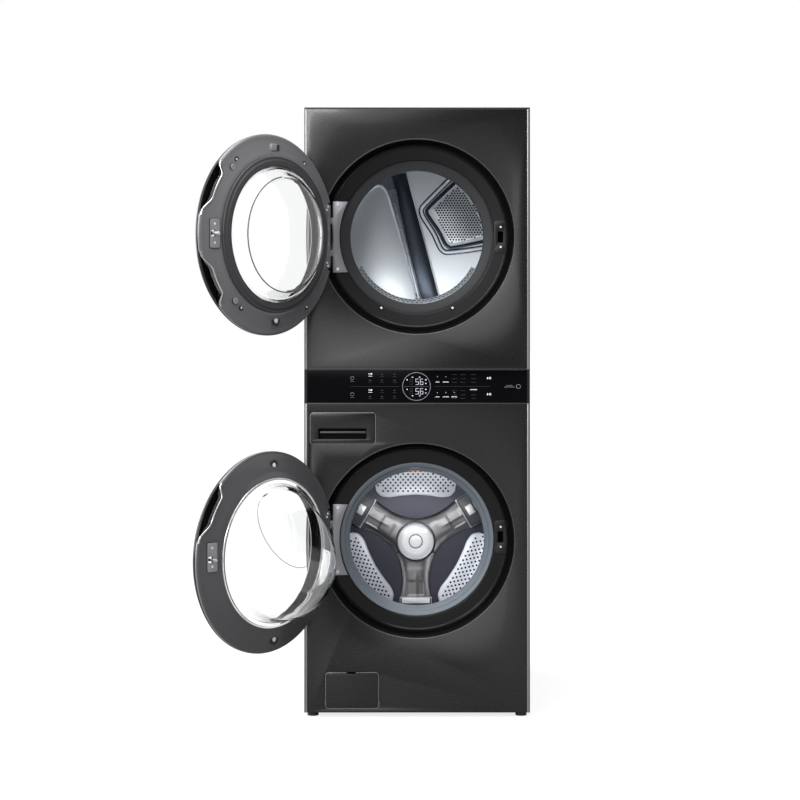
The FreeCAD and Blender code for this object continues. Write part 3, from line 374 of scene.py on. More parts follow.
def tube(points, radius, smooth=True, flat=1.0):
    """A round bar along (x, depth, z) points; flat under 1 squashes it towards the wall."""
    curve = bpy.data.curves.new("bar", "CURVE")
    curve.dimensions = "3D"
    curve.bevel_depth = radius
    curve.bevel_resolution = 3
    curve.use_fill_caps = True
    spline = curve.splines.new("NURBS" if smooth else "POLY")
    spline.points.add(len(points) - 1)
    for point, place in zip(spline.points, points):
        point.co = (*place, 1)
    if smooth:
        spline.order_u = 3
        spline.use_endpoint_u = True
        spline.resolution_u = 8
    holder = bpy.data.objects.new("bar", curve)
    bm = bmesh.new()
    mesh = bpy.data.meshes.new_from_object(holder)
    bm.from_mesh(mesh)
    bpy.data.meshes.remove(mesh)
    bpy.data.objects.remove(holder)
    if flat != 1.0:
        middle = points[0][1]
        bm.transform(move(y=middle) @ Matrix.Diagonal((1, flat, 1, 1)) @ move(y=-middle))
    return bm


def carved(bm, *cutters):
    """The bmesh with each cutter bmesh taken away."""
    objects = []
    for i, shape in enumerate((bm, *cutters)):
        bmesh.ops.remove_doubles(shape, verts=shape.verts, dist=0.005)
        bmesh.ops.recalc_face_normals(shape, faces=shape.faces)
        mesh = bpy.data.meshes.new(f"carve_{i}")
        shape.to_mesh(mesh)
        shape.free()
        thing = bpy.data.objects.new(f"carve_{i}", mesh)
        bpy.context.scene.collection.objects.link(thing)
        objects.append(thing)
    base = objects[0]
    for cutter in objects[1:]:
        step = base.modifiers.new("cut", "BOOLEAN")
        step.operation = "DIFFERENCE"
        step.solver = "EXACT"
        step.object = cutter
    bpy.context.view_layer.update()
    result = bmesh.new()
    mesh = bpy.data.meshes.new_from_object(base.evaluated_get(bpy.context.evaluated_depsgraph_get()))
    result.from_mesh(mesh)
    bpy.data.meshes.remove(mesh)
    for thing in objects:
        bpy.data.objects.remove(thing)
    return result


def polar(radius, degrees, depth=0):
    """A point at a radius and angle in the round, at a depth."""
    a = math.radians(degrees)
    return (radius * math.cos(a), depth, radius * math.sin(a))


def ring_points(radius, angles):
    """Points at a radius, as (x, z)."""
    return [polar(radius, a)[::2] for a in angles]


def soft_outline(points, radius, closed=True):
    """The outline with eased corners, as (x, z)."""
    return [(p.x, p.y) for p in eased(points, radius, closed)]


def barrel(z0, z1, bore):
    """A hinge barrel round the pin."""
    bm = spun([(5.5, z0), (5.5, z1), (bore, z1), (bore, z0)], steps=32, radius=0.6)
    bm.transform(move(HINGE_X, HINGE_Y, 0) @ turn(90, "X"))
    return bm


def hole(segments, place):
    """A flat round spot that looks like a hole."""
    bm = bmesh.new()
    bmesh.ops.create_circle(bm, cap_ends=True, segments=segments, radius=HOLE_RADIUS)
    bm.transform(place @ turn(90, "X"))
    return bm


# ---------------------------------------------------------------- cabinet

def cabinet_finishes():
    """The structural pieces keep their own shapes and get their finishes."""
    looks = {
        "base_frame": "zinc", "levelling_feet": "seal", "side_panels": "side", "top_panel": "panel",
             "rear_panel": "zinc",
        "control_panel_housing": "black_satin", "display_board": "board", "middle_deck": "zinc",
             "hinge_pins": "bracket",
        "washer_door_lock": "void", "dryer_door_catch": "void", "drawer_housing": "white",
             "water_fittings": "white",
        "drain_pump": "grey", "power_terminal_cover": "zinc", "suspension_springs": "bracket",
             "damper_cylinders": "grey",
        "blower_housing": "zinc", "dryer_motor": "motor", "drive_belt": "seal", "tub_front": "white",
             "tub_rear": "white",
        "front_counterweight": "cast", "motor_stator": "motor", "damper_rods": "grey",
             "motor_rotor": "bracket",
        "motor_pulley": "bracket", "blower_wheel": "black_satin", "pump_filter": "grey",
             "lint_filter": "grey",
        "washer_drum_shell": "drum", "dryer_drum_shell": "drum",
    }
    for node, look in looks.items():
        thing = frame["nodes"][node]
        thing.data.materials.clear()
        thing.data.materials.append(M[look])


def front_panels():
    """The two painted sheets, cut round the recesses, the drawer and the pump cover."""
    upper = [rounded(-HALF_FRONT, HALF_FRONT, CONSOLE_HIGH, PANEL_TOP, 1), circle(0, DRYER_Z, RECESS)]
    piece("upper_front_sheet", sheet(upper, 0, SHEET), "panel", "cabinet", "upper_front_panel",
          slot="black_steel", place=FACE)
    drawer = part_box("drawer_front")
    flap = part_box("pump_cover")
    holes = [rounded(low[0] / MM - 1.2, high[0] / MM + 1.2, low[2] / MM - 1.2, high[2] / MM + 1.2, radius)
             for (low, high), radius in ((drawer, 11), (flap, 11))]
    lower = [rounded(-HALF_FRONT, HALF_FRONT, PANEL_FOOT, CONSOLE_LOW, 1), circle(0, WASHER_Z, RECESS),
             *holes]
    piece("lower_front_sheet", sheet(lower, 0, SHEET), "panel", "cabinet", "lower_front_panel",
          slot="black_steel", place=FACE)


def panel_trims():
    """Thin folded edges down the sides and next to the console, in tones lighter than the panel: painted highlights
    where the folds catch the light.
    """
    for side in (-1, 1):
        for word, low, high in (("lower", PANEL_FOOT, CONSOLE_LOW - 1),
                                ("upper", CONSOLE_HIGH + 1, PANEL_TOP - 1)):
            x0, x1 = sorted((side * (HALF_FRONT + 0.3), side * (HALF_FRONT + 5)))
            strip = slab((x0, -1.2, low), (x1, 0.6, high), 0.8)
            word_side = "left" if side < 0 else "right"
            piece(f"{word}_edge_{word_side}", strip, "edge", "cabinet", slot="bright_steel", place=FACE)
    for word, z in (("upper", CONSOLE_HIGH + 1), ("lower", CONSOLE_LOW - 2.6)):
        fold = slab((-HALF_FRONT, -0.9, z), (HALF_FRONT, 0.4, z + 1.6), 0.4)
        piece(f"{word}_fold", fold, "side", "cabinet", slot="side_paint", place=FACE)


def recesses():
    """Both round recesses, with the latch slot cut through and a raised plate round it."""
    profile = [(314, 1.3), (301.6, 1.3), (292, 40), (286, 44), (283, 32), (280, 31), (278, 36), (240, 36),
               (240, 46), (243, 46),
               (243, 39), (281, 39), (284, 47), (294, 47), (303, 5), (314, 5)]
    rings, plates, lips = [], [], []
    for place, low in ((WASHER, -9), (DRYER, -17)):
        ring = carved(spun(profile, steps=192, radius=2.5), slab((252, 20, low), (269, 60, low + 34), 0))
        plate = sheet([rounded(241, 282, low - 34, low + 68, 9),
                       rounded(251.5, 269.5, low - 0.5, low + 34.5, 2)], 34.4, 36.2)
        plate.transform(place)
        plates.append(plate)
        ring.transform(place)
        rings.append(ring)
        lip = spun([(304.6, -0.5), (303, -0.5), (301.6, 0.6), (301.2, 2.6), (301.8, 2.6), (302.4, 1.0),
                    (304.6, 0.2)], steps=192,
                   radius=0.5)
        lip.transform(place)
        lips.append(lip)
    # Flat black discs round the two lower screws: painted shade in their wells.
    cups = [disc(x, -221, 7.5, 36, 1.4) for x in (-111, 111)]
    piece("recess_well_shades", merged(*cups), "void", "cabinet", slot="recess_black", place=DRYER)
    piece("door_recesses", merged(*rings), "recess", "cabinet", "door_surrounds", slot="recess_black")
    piece("latch_slot_plates", merged(*plates), "black_satin", "cabinet", slot="recess_black")
    piece("recess_lips", merged(*lips), "side", "cabinet", slot="side_paint")
    heads = []
    for z in (WASHER_Z - 23, WASHER_Z + 39, DRYER_Z - 31, DRYER_Z + 31):
        heads.append(disc(261, z, 3.4, 34.6, 1.8))
    for height in (WASHER_Z, DRYER_Z):
        heads += [disc(-247, height + z, 5, 29, 2.6) for z in (-100, 100)]
    heads += [disc(x, DRYER_Z - 221, 4, 34.8, 2.2) for x in (-111, 111)]
    piece("recess_screws", merged(*heads), "cap", "cabinet", "panel_screws", slot="bright_steel",
          place=FACE)


def gasket():
    """The rubber bellows: a bead against the recess, two soft folds and the mouth lip."""
    profile = [(238, 37), (242, 46), (243, 52), (234, 53), (228, 57), (221, 59), (217, 63), (212, 64.5),
               (209.5, 61.5),
               (213, 58), (217, 54), (224, 50), (226, 44), (233, 40)]
    bellows = spun(profile, steps=192, radius=3)
    for word, x0, x1, r, depth in (("blue", -22, 9, 221, 49.5), ("orange", -24, 12, 213, 56)):
        strip = slab((x0, depth, r - 2), (x1, depth + 3, r + 2), 0.8)
        piece(f"{word}_level_mark", strip, f"{word}_mark", "cabinet", slot="grey_rubber", place=WASHER)
    piece("gasket_bellows", bellows, "rubber", "cabinet", "door_gasket", slot="grey_rubber", place=WASHER)
    throat = spun([(218, -8), (227, -8), (227.5, 18), (231, 21), (220, 21), (218, 16)], steps=128, radius=2)
    piece("gasket_throat", throat, "rubber", "tub", slot="grey_rubber", place=TUB)


def hinge_brackets():
    """The bright plate on each recess floor and its two arms to the hinge line."""
    plates = []
    for height in (WASHER_Z, DRYER_Z):
        outline = [(-283 if abs(z) < 60 else -262, z) for z in (-111, -60, -59, 59, 60, 111)]
        outline += ring_points(241.5, range(153, 208, 3))
        plate = sheet([outline], 28.8, 30.8)
        arms = []
        for s in (-1, 1):
            z0, z1 = sorted((s * HINGE_ARM_Z - 6, s * HINGE_ARM_Z + 6))
            arms.append(slab((-283, -10, z0), (-277, 30.8, z1), 1.2))
            arms.append(slab((-283, 27, z0), (-262, 30.8, z1), 1.2))
            arms.append(barrel(z0, z1, 3))
        shape = merged(plate, *arms)
        shape.transform(move(z=height))
        plates.append(shape)
    piece("hinge_plates", merged(*plates), "bracket", "cabinet", "hinge_brackets", slot="bright_steel",
          place=FACE)


# ---------------------------------------------------------------- console

SEGMENTS = {"top": ((-1, 2), (1, 2)), "middle": ((-1, 0), (1, 0)), "foot": ((-1, -2), (1, -2)),
            "high_left": ((-1, 0), (-1, 2)),
            "high_right": ((1, 0), (1, 2)), "low_left": ((-1, -2), (-1, 0)), "low_right": ((1, -2), (1, 0))}
DIGITS = {"5": ("top", "high_left", "middle", "low_right", "foot"),
          "6": ("top", "high_left", "middle", "low_left", "low_right", "foot"), "8": tuple(SEGMENTS)}


def digit(text, x, z, width, height):
    """One seven-bar digit."""
    bars = []
    for name in DIGITS[text]:
        (ax, az), (bx, bz) = SEGMENTS[name]
        low = (x + min(ax, bx) * width / 2 - 0.45, -1.25, z + min(az, bz) * height / 4 - 0.45)
        high = (x + max(ax, bx) * width / 2 + 0.45, -1.05, z + max(az, bz) * height / 4 + 0.45)
        bars.append(slab(low, high, 0))
    return bars


def mark(x, z, wide, tall):
    """A plain bar on the glass where a word or sign would be."""
    return slab((x - wide / 2, PRINT_FRONT, z - tall / 2), (x + wide / 2, PRINT_BACK, z + tall / 2), 0)


def hoop(x, z, radius, line):
    """A thin printed circle."""
    return sheet([circle(x, z, radius, 64), circle(x, z, radius - line, 64)], PRINT_FRONT, PRINT_BACK,
                 edge=0.02)


def lettering(x, z, wide, tall):
    """A row of small bars on the glass, as a stand-in for lettering."""
    count = max(2, round(wide / 2.6))
    pitch = wide / count
    bars = []
    for i in range(count):
        high = tall * (1 if i % 3 else 0.72)
        at = x - wide / 2 + pitch * (i + 0.5)
        left, right = at - pitch * 0.32, at + pitch * 0.32
        bars.append(slab((left, PRINT_FRONT, z - tall / 2), (right, PRINT_BACK, z - tall / 2 + high), 0))
    return merged(*bars)


def play_mark(x, z):
    """Start and pause: a triangle and two bars."""
    arrow = sheet([[(x - 6, z - 3.6), (x - 0.6, z), (x - 6, z + 3.6)]], PRINT_FRONT, PRINT_BACK, edge=0.02)
    return [arrow, mark(x + 2, z, 1.6, 7), mark(x + 5, z, 1.6, 7)]


def console():
    """Black glass with two rows of figures in a ring, and rows of small generic marks."""
    glass = sheet([rounded(-HALF_FRONT + 0.2, HALF_FRONT - 0.2, CONSOLE_LOW + 2.2, CONSOLE_HIGH - 2.2,
                           1.5)], -1, 2, edge=0.3)
    piece("console_front", glass, "console", "cabinet", "control_panel_glass", slot="console_glass",
          place=FACE)
    middle = (CONSOLE_LOW + CONSOLE_HIGH) / 2
    rows = (middle + 26, middle - 24)
    lit, dim, ring = [], [], [hoop(-2, middle, 44, 1.6)]
    for row, z in enumerate((middle + 14.5, middle - 15)):
        dim += digit("8", -18, z, 8, 17)
        lit += digit("5", 0, z, 8.5, 17) + digit("6", 14, z, 8.5, 17)
        lit += [mark(-31, z + 6, 3, 3), mark(27, z + 6, 4, 3), mark(27, z - 5, 4, 2)]
        lit += [mark(x, z + (14 if row == 0 else -14), 3.5, 2.4) for x in (-14, 8)]
    ring += [mark(-2, middle, 78, 0.35)]
    dim += [mark(-131, middle, 156, 0.7), mark(140, middle, 172, 0.7)]
    for row, z in enumerate(rows):
        ring += [hoop(-201, z, 5.5, 0.8), lettering(-201, z - 10, 12, 1.4)]
        lit += [mark(-142, z + 13, 5, 4), mark(-149, z + 13, 2, 4), lettering(-145, z + 6, 12, 2)]
        dim += [mark(-146, z - 7, 6, 3.4), lettering(-146, z - 13, 12, 1.6)]
        for x in (-109, -70):
            dim += [mark(x, z + 12, 6, 3), lettering(x, z + 5, 13, 1.6), mark(x, z - 7, 6, 3),
                    lettering(x, z - 13, 14, 1.6)]
        labels = (63, 89) if row == 0 else (63, 89, 115)
        lit += [lettering(x, z - (12 if row == 0 else 8), 12 if x == 63 else 19, 2.6) for x in labels]
        lit += [mark(x, z + (4 if row == 0 else 5), 1.2, 2) for x in labels]
        dim += [lettering(x, z + dz, 15, 1.6) for x in (115, 142, 175) for dz in (11, -2, -13)]
        lit += play_mark(223, z)
    lit += [lettering(175, middle - 9.5, 21, 2.8)]
    ring += [lettering(286, middle + 3, 20, 1.4), lettering(286, middle - 1.5, 32, 2),
             hoop(314, middle, 7, 1.2)]
    for kind, shapes, look in (("lit", lit, "lit"), ("dim", dim, "dim"), ("printed", ring, "ring")):
        piece(f"console_{kind}_marks", merged(*shapes), look, "cabinet", slot="console_glass", place=FACE)


# ---------------------------------------------------------------- drawer, flap

def drawer():
    """The drawer front with its finger slot and lip, and the white tray with two wells."""
    low, high = (Vector(corner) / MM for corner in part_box("drawer_front"))
    slot = (low.x + 26, high.x - 29, low.z + 16, low.z + 49)
    face = sheet([rounded(low.x, high.x, low.z, high.z, 10), rounded(*slot, 2.5)], -1, 3, edge=0.6)
    piece("drawer_face", face, "panel", "drawer", "drawer_front", slot="black_steel", place=FACE)
    # A light grey ring round the face: painted highlight on its edge.
    rim = sheet([rounded(low.x, high.x, low.z, high.z, 10),
                 rounded(low.x + 1.1, high.x - 1.1, low.z + 1.1, high.z - 1.1, 8.9)],
                -1.4, -0.9, edge=0.1)
    piece("drawer_rim", rim, "edge", "drawer", slot="bright_steel", place=FACE)
    x0, x1, z0, z1 = slot
    shell = carved(slab((x0 - 3, 2, z0 - 3), (x1 + 3, 13.9, z1 + 3), 1),
                   slab((x0, -5, z0), (x1, 11, z1), 0))
    piece("finger_well", shell, "void", "drawer", slot="dark_plastic", place=FACE)
    lip = slab((x0 + 5, -0.4, (z0 + z1) / 2 + 1), (x1 - 2, 6, (z0 + z1) / 2 + 7), 1.5)
    piece("finger_lip", lip, "side", "drawer", slot="side_paint", place=FACE)
    t_low, t_high = (Vector(corner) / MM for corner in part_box("drawer_tray"))
    middle = -231
    body = slab(tuple(t_low), tuple(t_high), 2)
    wells = [slab((t_low.x + 3, t_low.y + 3, t_low.z + 3), (middle - 1.5, t_high.y - 3, t_high.z + 9), 3),
             slab((middle + 1.5, t_low.y + 3, t_low.z + 3), (t_high.x - 3, t_high.y - 3, t_high.z + 9), 3)]
    piece("detergent_tray", carved(body, *wells), "white", "drawer", "drawer_tray", slot="white_plastic")


def flap():
    """The pump cover with round corners and a thumb notch."""
    low, high = (Vector(corner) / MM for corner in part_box("pump_cover"))
    outline = rounded(low.x, high.x, low.z, high.z, 10)
    notch = slab((-218, -5, high.z - 4.5), (-190, 5, high.z + 3), 0)
    cover = carved(sheet([outline], -1, 1.5, edge=0.5), notch)
    piece("pump_flap_cover", cover, "panel", "pump_flap", "pump_cover", slot="black_steel", place=FACE)
    # A light grey ring round the cover: painted highlight on its edge.
    rim = sheet([rounded(low.x + 0.5, high.x - 0.5, low.z + 0.6, high.z - 0.5, 9.5),
                 rounded(low.x + 1.6, high.x - 1.6, low.z + 1.7, high.z - 1.6, 8.4)], -1.12, -0.9,
                edge=0.05)
    piece("pump_flap_rim", carved(rim, slab((-219, -5, high.z - 5), (-189, 5, high.z + 3), 0)), "edge",
          "pump_flap",
          slot="bright_steel", place=FACE)


# ---------------------------------------------------------------- wash drum

BACK_FACE = 446


def drum_piece(name, bm, look, *replaced, slot="drum_steel", **more):
    """A piece that turns with the wash drum."""
    piece(name, bm, look, "washer_drum", *replaced, slot=slot, place=TUB, **more)


def washer_back():
    """The drum's back: dark lobes, three perforated crescents, three polished arms and the bright cap."""
    dish = spun([(0, BACK_FACE - 1), (70, BACK_FACE - 1), (160, BACK_FACE - 3), (268, BACK_FACE - 5),
                 (268, BACK_FACE - 2),
                 (0, BACK_FACE + 1)], steps=96, radius=8, closed=False)
    drum_piece("back_dish", dish, "lobe")
    crescents, rims, holes = [], [], []
    half_edge = [(0, 157.5), (54, 153.5), (91, 147.5), (118, 152), (134, 170)]
    edge = [(-u, v) for u, v in reversed(half_edge[1:])] + half_edge
    inner = soft_outline(edge, 16, closed=False)
    outer = [(252 * math.sin(math.radians(a)), 252 * math.cos(math.radians(a))) for a in range(34, -35, -4)]
    for centre in (90, -30, -150):
        spin = turn(90 - centre, "Y")
        plate = sheet([inner + outer], BACK_FACE - 13, BACK_FACE - 5, edge=2.5)
        plate.transform(spin)
        crescents.append(plate)
        rim = tube([(u, BACK_FACE - 12, v + 2.2) for u, v in inner], 2.4)
        rim.transform(spin)
        rims.append(rim)
        for row in range(9):
            for column in range(-9, 10):
                u = column * 17 + (8.5 if row % 2 else 0)
                v = 160 + row * 9.6
                rise = 168 if abs(u) < 30 else 166 - abs(abs(u) - 90) * 0.02
                if v < rise - 1 or math.hypot(u,
                                              v) > 246 or abs(u) > v * 0.68 or (abs(u) > 112 and v < 180):
                    continue
                holes.append(hole(12, spin @ move(u, BACK_FACE - 13.5, v)))
    drum_piece("perforated_crescents", merged(*crescents), "perforated", smooth=50)
    drum_piece("crescent_rims", merged(*rims), "back_light")
    drum_piece("crescent_holes", merged(*holes), "void", outward=False)
    arms = [arm(60 + 120 * i) for i in range(3)]
    drum_piece("three_arm_spider", merged(*arms), "spider", "drum_spider", slot="cast_metal", smooth=60)
    # A dark disc just wider than the hub cap: painted shadow round the cap.
    shadow = spun([(0, BACK_FACE - 18), (66, BACK_FACE - 18), (67.5, BACK_FACE - 16),
                   (67.5, BACK_FACE - 13), (0, BACK_FACE - 13)],
                  steps=96, radius=1, closed=False)
    drum_piece("hub_shadow_ring", shadow, "back_shade", slot="cast_metal")
    cap = spun([(0, BACK_FACE - 25), (20.5, BACK_FACE - 25), (21.5, BACK_FACE - 23.6), (23, BACK_FACE - 25),
                (44, BACK_FACE - 24.4),
                (57, BACK_FACE - 22), (61, BACK_FACE - 19), (61, BACK_FACE - 17.5), (0, BACK_FACE - 17.5)],
               steps=96, radius=1.2,
               closed=False)
    drum_piece("hub_dome", cap, "cap", "hub_cap")
    groove = spun([(20.4, BACK_FACE - 25.3), (24, BACK_FACE - 25.3), (24, BACK_FACE - 22),
                   (20.4, BACK_FACE - 22)], steps=64,
                  radius=0.3)
    drum_piece("hub_groove", groove, "motor", slot="motor_metal")


ARM_SIDE = ((38.5, 66.7), (55, 60), (72, 54.5), (100, 48.5), (122, 47), (150, 48.5), (170, 52), (184, 54))


def along(table, at):
    """Straight-line value between the rows of a table."""
    for (x0, y0), (x1, y1) in zip(table, table[1:]):
        if at <= x1:
            return y0 + (y1 - y0) * (at - x0) / (x1 - x0)
    return table[-1][1]


def ramp(value):
    """Smooth step from 0 to 1."""
    t = min(1, max(0, value))
    return t * t * (3 - 2 * t)


def arm(spin_degrees):
    """One polished arm: crowned, joined to its neighbours at the hub, with a pocket near its end."""
    bm = bmesh.new()
    rows, columns = 48, 36
    first, last = ARM_SIDE[0][0], ARM_SIDE[-1][0]
    grid = []
    for j in range(rows + 1):
        reach = first + (last - first) * j / rows
        half = along(ARM_SIDE, reach)
        line = []
        for i in range(columns + 1):
            u = -1 + 2 * i / columns
            crown = 12 * (1 - abs(u) ** 3.5)
            pocket = ramp((reach - 128) / 8) * ramp((180 - reach) / 3) * ramp((29 - abs(u * half)) / 4)
            ridge = 1.4 * math.exp(-(u * half / 7) ** 2) * ramp((reach - 90) / 40)
            waist = 1.0 * ramp((reach - 62) / 10) * ramp((96 - reach) / 14)
            line.append(bm.verts.new((u * half, BACK_FACE - 3 - crown + 1.6 * pocket + waist - ridge,
                                      reach)))
        grid.append(line)
    for j in range(rows):
        for i in range(columns):
            bm.faces.new((grid[j][i], grid[j][i + 1], grid[j + 1][i + 1], grid[j + 1][i]))
    border = [edge for edge in bm.edges if edge.is_boundary]
    wall = bmesh.ops.extrude_edge_only(bm, edges=border)["geom"]
    for vert in (v for v in wall if isinstance(v, bmesh.types.BMVert)):
        vert.co.y = BACK_FACE
    bm.transform(turn(spin_degrees, "Y"))
    return bm


def lifters():
    """Three paddles on the drum wall, each with a flared foot at the back and a bright patch painted on as its
    highlight.
    """
    dark, bright, outlines = [], [], []
    for i in range(3):
        spin = turn(120 * i, "Y")
        body = slab((-38, 72, -271), (38, 412, -228), 14, 5)
        for vert in body.verts:
            vert.co.x *= 1 - 0.35 * (vert.co.z + 271) / 43
        foot = slab((-52, 408, -262), (52, 436, -187), 5)
        outline = slab((-54, 430, -263), (54, 438, -184.5), 1.5)
        # Painted highlights: a bright patch on each paddle, the bottom one larger.
        half, low, high = (47, -206, -188) if i == 0 else (17, -224, -200)
        highlight_patch = slab((-half, 402, low), (half, 409, high), 2)
        for bm, group in ((body, dark), (foot, dark), (outline, outlines), (highlight_patch, bright)):
            bm.transform(spin)
            group.append(bm)
    drum_piece("drum_paddles", merged(*dark), "paddle", "drum_lifters", slot="grey_plastic", smooth=60)
    drum_piece("paddle_outlines", merged(*outlines), "back_light")
    drum_piece("paddle_highlights", merged(*bright), "cap")


# ---------------------------------------------------------------- dryer inside

def wall_piece(name, bm, look, *replaced, slot="drum_steel", **more):
    """A fixed piece inside the dryer."""
    piece(name, bm, look, "cabinet", *replaced, slot=slot, place=DRYER, **more)


def dryer_ring():
    """The fixed ring round the dryer's mouth, with its grille of short slots over the lint screen."""
    profile = [(209, 52), (234, 47), (300, 49), (300, 51), (236, 49), (211, 54), (211, 110), (209, 110)]
    ring = carved(spun(profile, steps=192, radius=2), slab((-70, 61, -226), (70, 83, -190), 0),
                  slab((243, 40, -45), (280, 60, 45), 0))
    wall_piece("dryer_mouth_ring", ring, "mouth", "dryer_front_bulkhead", slot="recess_black")
    grille = spun([(195, 109), (209, 88), (210.5, 90), (197, 110.5)], steps=96, radius=0.6, angle=124)
    grille.transform(turn(28, "Y"))
    slots = []
    for i in range(31):
        for row, (radius, depth) in enumerate(((204.6, 94.6), (198.8, 102.8))):
            tick = slab((-4, -0.6, -1.4), (4, 0.6, 1.4), 0)
            tick.transform(turn(-60 + 4 * i + 2 * row, "Y") @ move(y=depth - 0.2, z=-radius) @ turn(-58,
                                                                                                    "X"))
            slots.append(tick)
    wall_piece("lint_grille", grille, "back_light")
    wall_piece("lint_grille_slots", merged(*slots), "void", slot="dark_plastic")


def dryer_back():
    """The fixed back wall: bright sheet, slanted channel, double bead and air inlet holes; its darker sheets and lines
    are painted shade.
    """
    front = DRYER_WALL
    wall = spun([(0, front), (306, front), (306, front - 10), (308, front - 10), (308, front + 2),
                 (0, front + 2)], steps=128,
                radius=0.8, closed=False)
    wall_piece("dryer_back_wall", wall, "back_light", "dryer_rear_bulkhead")
    # A darker sheet over the wall's left part: painted shade.
    shade = [(-45, 250), *ring_points(300, range(103, 263, 4)), (16, -290)]
    wall_piece("left_back_shade", sheet([shade], front - 1.2, front - 0.3, edge=0.3), "back_half_shade")
    # The slanted channel is the wall's steel painted near black: painted shade in the channel.
    channel = [(-98, 280), (-22, 280), (-32, 241), (77, -168), (108, -278), (42, -294), (15, -180),
               (-74, 193)]
    wall_piece("back_channel", sheet([channel], front - 3, front - 0.3, edge=1.2), "back_shade", smooth=60)
    ridge = [(-34, front - 3, 250), (76, front - 3, -165), (106, front - 3, -278)]
    wall_piece("channel_edge", tube(ridge, 3, smooth=False), "back_light")
    # The shoulder between channel and panel takes the half-shade steel: painted shade on its slope.
    shoulder = [(-92, 172), (-66, 180), (-54, 108), (14, -180), (40, -292), (26, -294), (1, -180),
                (-79, 108)]
    wall_piece("channel_shoulder", sheet([shoulder], front - 7, front - 1, edge=2.8), "back_half_shade", smooth=60)
    corner = [(-79.5, 108.5), (-91, 146), (-103, 175), (-113, 187), (-124, 191), (-140, 188), (-160, 172)]
    lower_arc = [(x, z) for x, _, z in (polar(INLET_RADIUS + 0.45 * (a - 132), a)
                                        for a in range(136, 262, 6))]
    panel_edge = [(31, -290), (1, -180), *corner]
    panel = soft_outline([*panel_edge, *lower_arc], 8)
    wall_piece("left_back_panel", sheet([panel], front - 9, front - 1, edge=3.5), "back_light", smooth=60)
    # The lip takes the lighter perforated steel tone: a painted highlight along the panel's edge.
    lip = [(x, front - 8.5, z) for x, z in [(1, -180), *corner, *lower_arc[:12]]]
    wall_piece("left_panel_lip", tube(lip, 4), "perforated")
    bead = [(136, 229), (29, 125), (18, 106), (27, 80), (62, 30), (79, -10), (91, -33), (112, -43),
            (245, -22)]
    groove = [(150, 214), (43, 116), (37, 99), (50, 78), (85, 28), (99, -7), (112, -21), (128, -25),
              (245, 1)]
    # Dark flat lines under and beside the bead are painted shade; the bead itself takes the lighter perforated tone as
    # a painted highlight.
    for name, path, width, flat, look in (("inlet_bead_shadow", bead, 10, 0.35, "back_shade"),
                                          ("inlet_bead", bead, 6, 1.0, "perforated"),
                                          ("inlet_groove", groove, 6.5, 0.4, "back_shade")):
        line = tube([(x, front - 3, z) for x, z in path], width, flat=flat)
        wall_piece(name, line, look)
    rim = [(148, 200), (140, 194), (55, 111), (62, 94), (95, 38), (107, 4), (119, -10), (136, -11),
           (240, 13)]
    patch = soft_outline([*rim[1:-1], *ring_points(INLET_RADIUS, range(5, 53, 4))], 5)
    wall_piece("inlet_patch", sheet([patch], front - 6, front - 0.3, edge=1.5), "back_light")
    # The rim takes the lighter perforated tone: a painted highlight along the patch's raised edge.
    wall_piece("inlet_rim", tube([(x, front - 6, z) for x, z in rim], 2.4), "perforated")
    holes = []
    for row in range(30):
        for column in range(24):
            x = 52 + column * 9.8 + (4.9 if row % 2 else 0)
            z = -12 + row * 8.4
            if not inside((x, z), ((140, 194), (55, 111), (107, 4), (125, -11), (240, 13)),
                          6) or math.hypot(x, z) > 234:
                continue
            holes.append(hole(8, move(x, front - 6.4, z)))
    wall_piece("inlet_holes", merged(*holes), "void", slot="dark_plastic", outward=False)


def inside(point, corners, margin):
    """Whether a point is inside the inlet patch's straight sides, by at least a margin."""
    sides = ((corners[1], corners[0]), (corners[2], corners[1]), (corners[4], corners[3]))
    for (ax, az), (bx, bz) in sides:
        length = math.hypot(bx - ax, bz - az)
        away = ((bx - ax) * (point[1] - az) - (bz - az) * (point[0] - ax)) / length
        if away > -margin:
            return False
    return True


# ---------------------------------------------------------------- doors

def grip_curve(low, high, inset=0.0):
    """The finger grip's inner edge as (radius, angle): a slow slope by the latch and a round far end."""
    latch, far = (low, high) if low > 0 else (high, low)
    rows = []
    for k in range(33):
        t = k / 32
        reach = ramp(t / 0.36) * ramp((1 - t) / 0.2)
        rows.append((299 - (27 - inset) * reach, latch + (far - latch) * t))
    return rows


def grip_shape(low, high, outer, front, back, inset=0.0):
    """A block the shape of a grip, from its curved inner edge out to a radius."""
    rows = grip_curve(low, high, inset)
    points = [polar(r, a) for r, a in rows] + [polar(outer, a) for _, a in reversed(rows)]
    return sheet([[(x, z) for x, _, z in points]], front, back, edge=0.05)


def grip_line(low, high):
    """The bright line along a grip's inner edge."""
    return tube([polar(min(r + 1.2, 295.5), a, liner_depth(r) + 0.5) for r, a in grip_curve(low, high)],
                2.7)


def wells(spots):
    """Dark round wells with a screw at the bottom, from (radius, angle, size, depth) rows."""
    cups, screws = [], []
    for radius, angle, size, depth in spots:
        x, _, z = polar(radius, angle)
        cup = spun([(size, depth - 1), (size + 1.6, depth - 0.2), (size + 1.6, depth + 1.4),
                    (size, depth + 2), (size - 1.2, depth + 1),
                    (size - 1.2, depth - 1)], steps=32, radius=0.6)
        cup.transform(move(x, 0, z))
        floor = disc(x, z, size - 1, depth + 0.6, 0.4)
        floor.transform(move(y=0.6))
        cups += [cup, floor]
        head = spun([(0, depth + 2.4), (size * 0.45, depth + 2.2), (size * 0.5, depth + 1.2),
                     (0, depth + 1.2)], steps=20, radius=0.4,
                    closed=False)
        head.transform(move(x, 0, z))
        screws.append(head)
    return cups, screws


def liner_depth(radius):
    """How far the liner's face stands inside the door at a radius."""
    table = ((299, 4), (281, 11), (252, 22), (236, 29))
    for (r1, d1), (r0, d0) in zip(table, table[1:]):
        if radius >= r0:
            return d1 + (d0 - d1) * (r1 - radius) / (r1 - r0)
    return 29


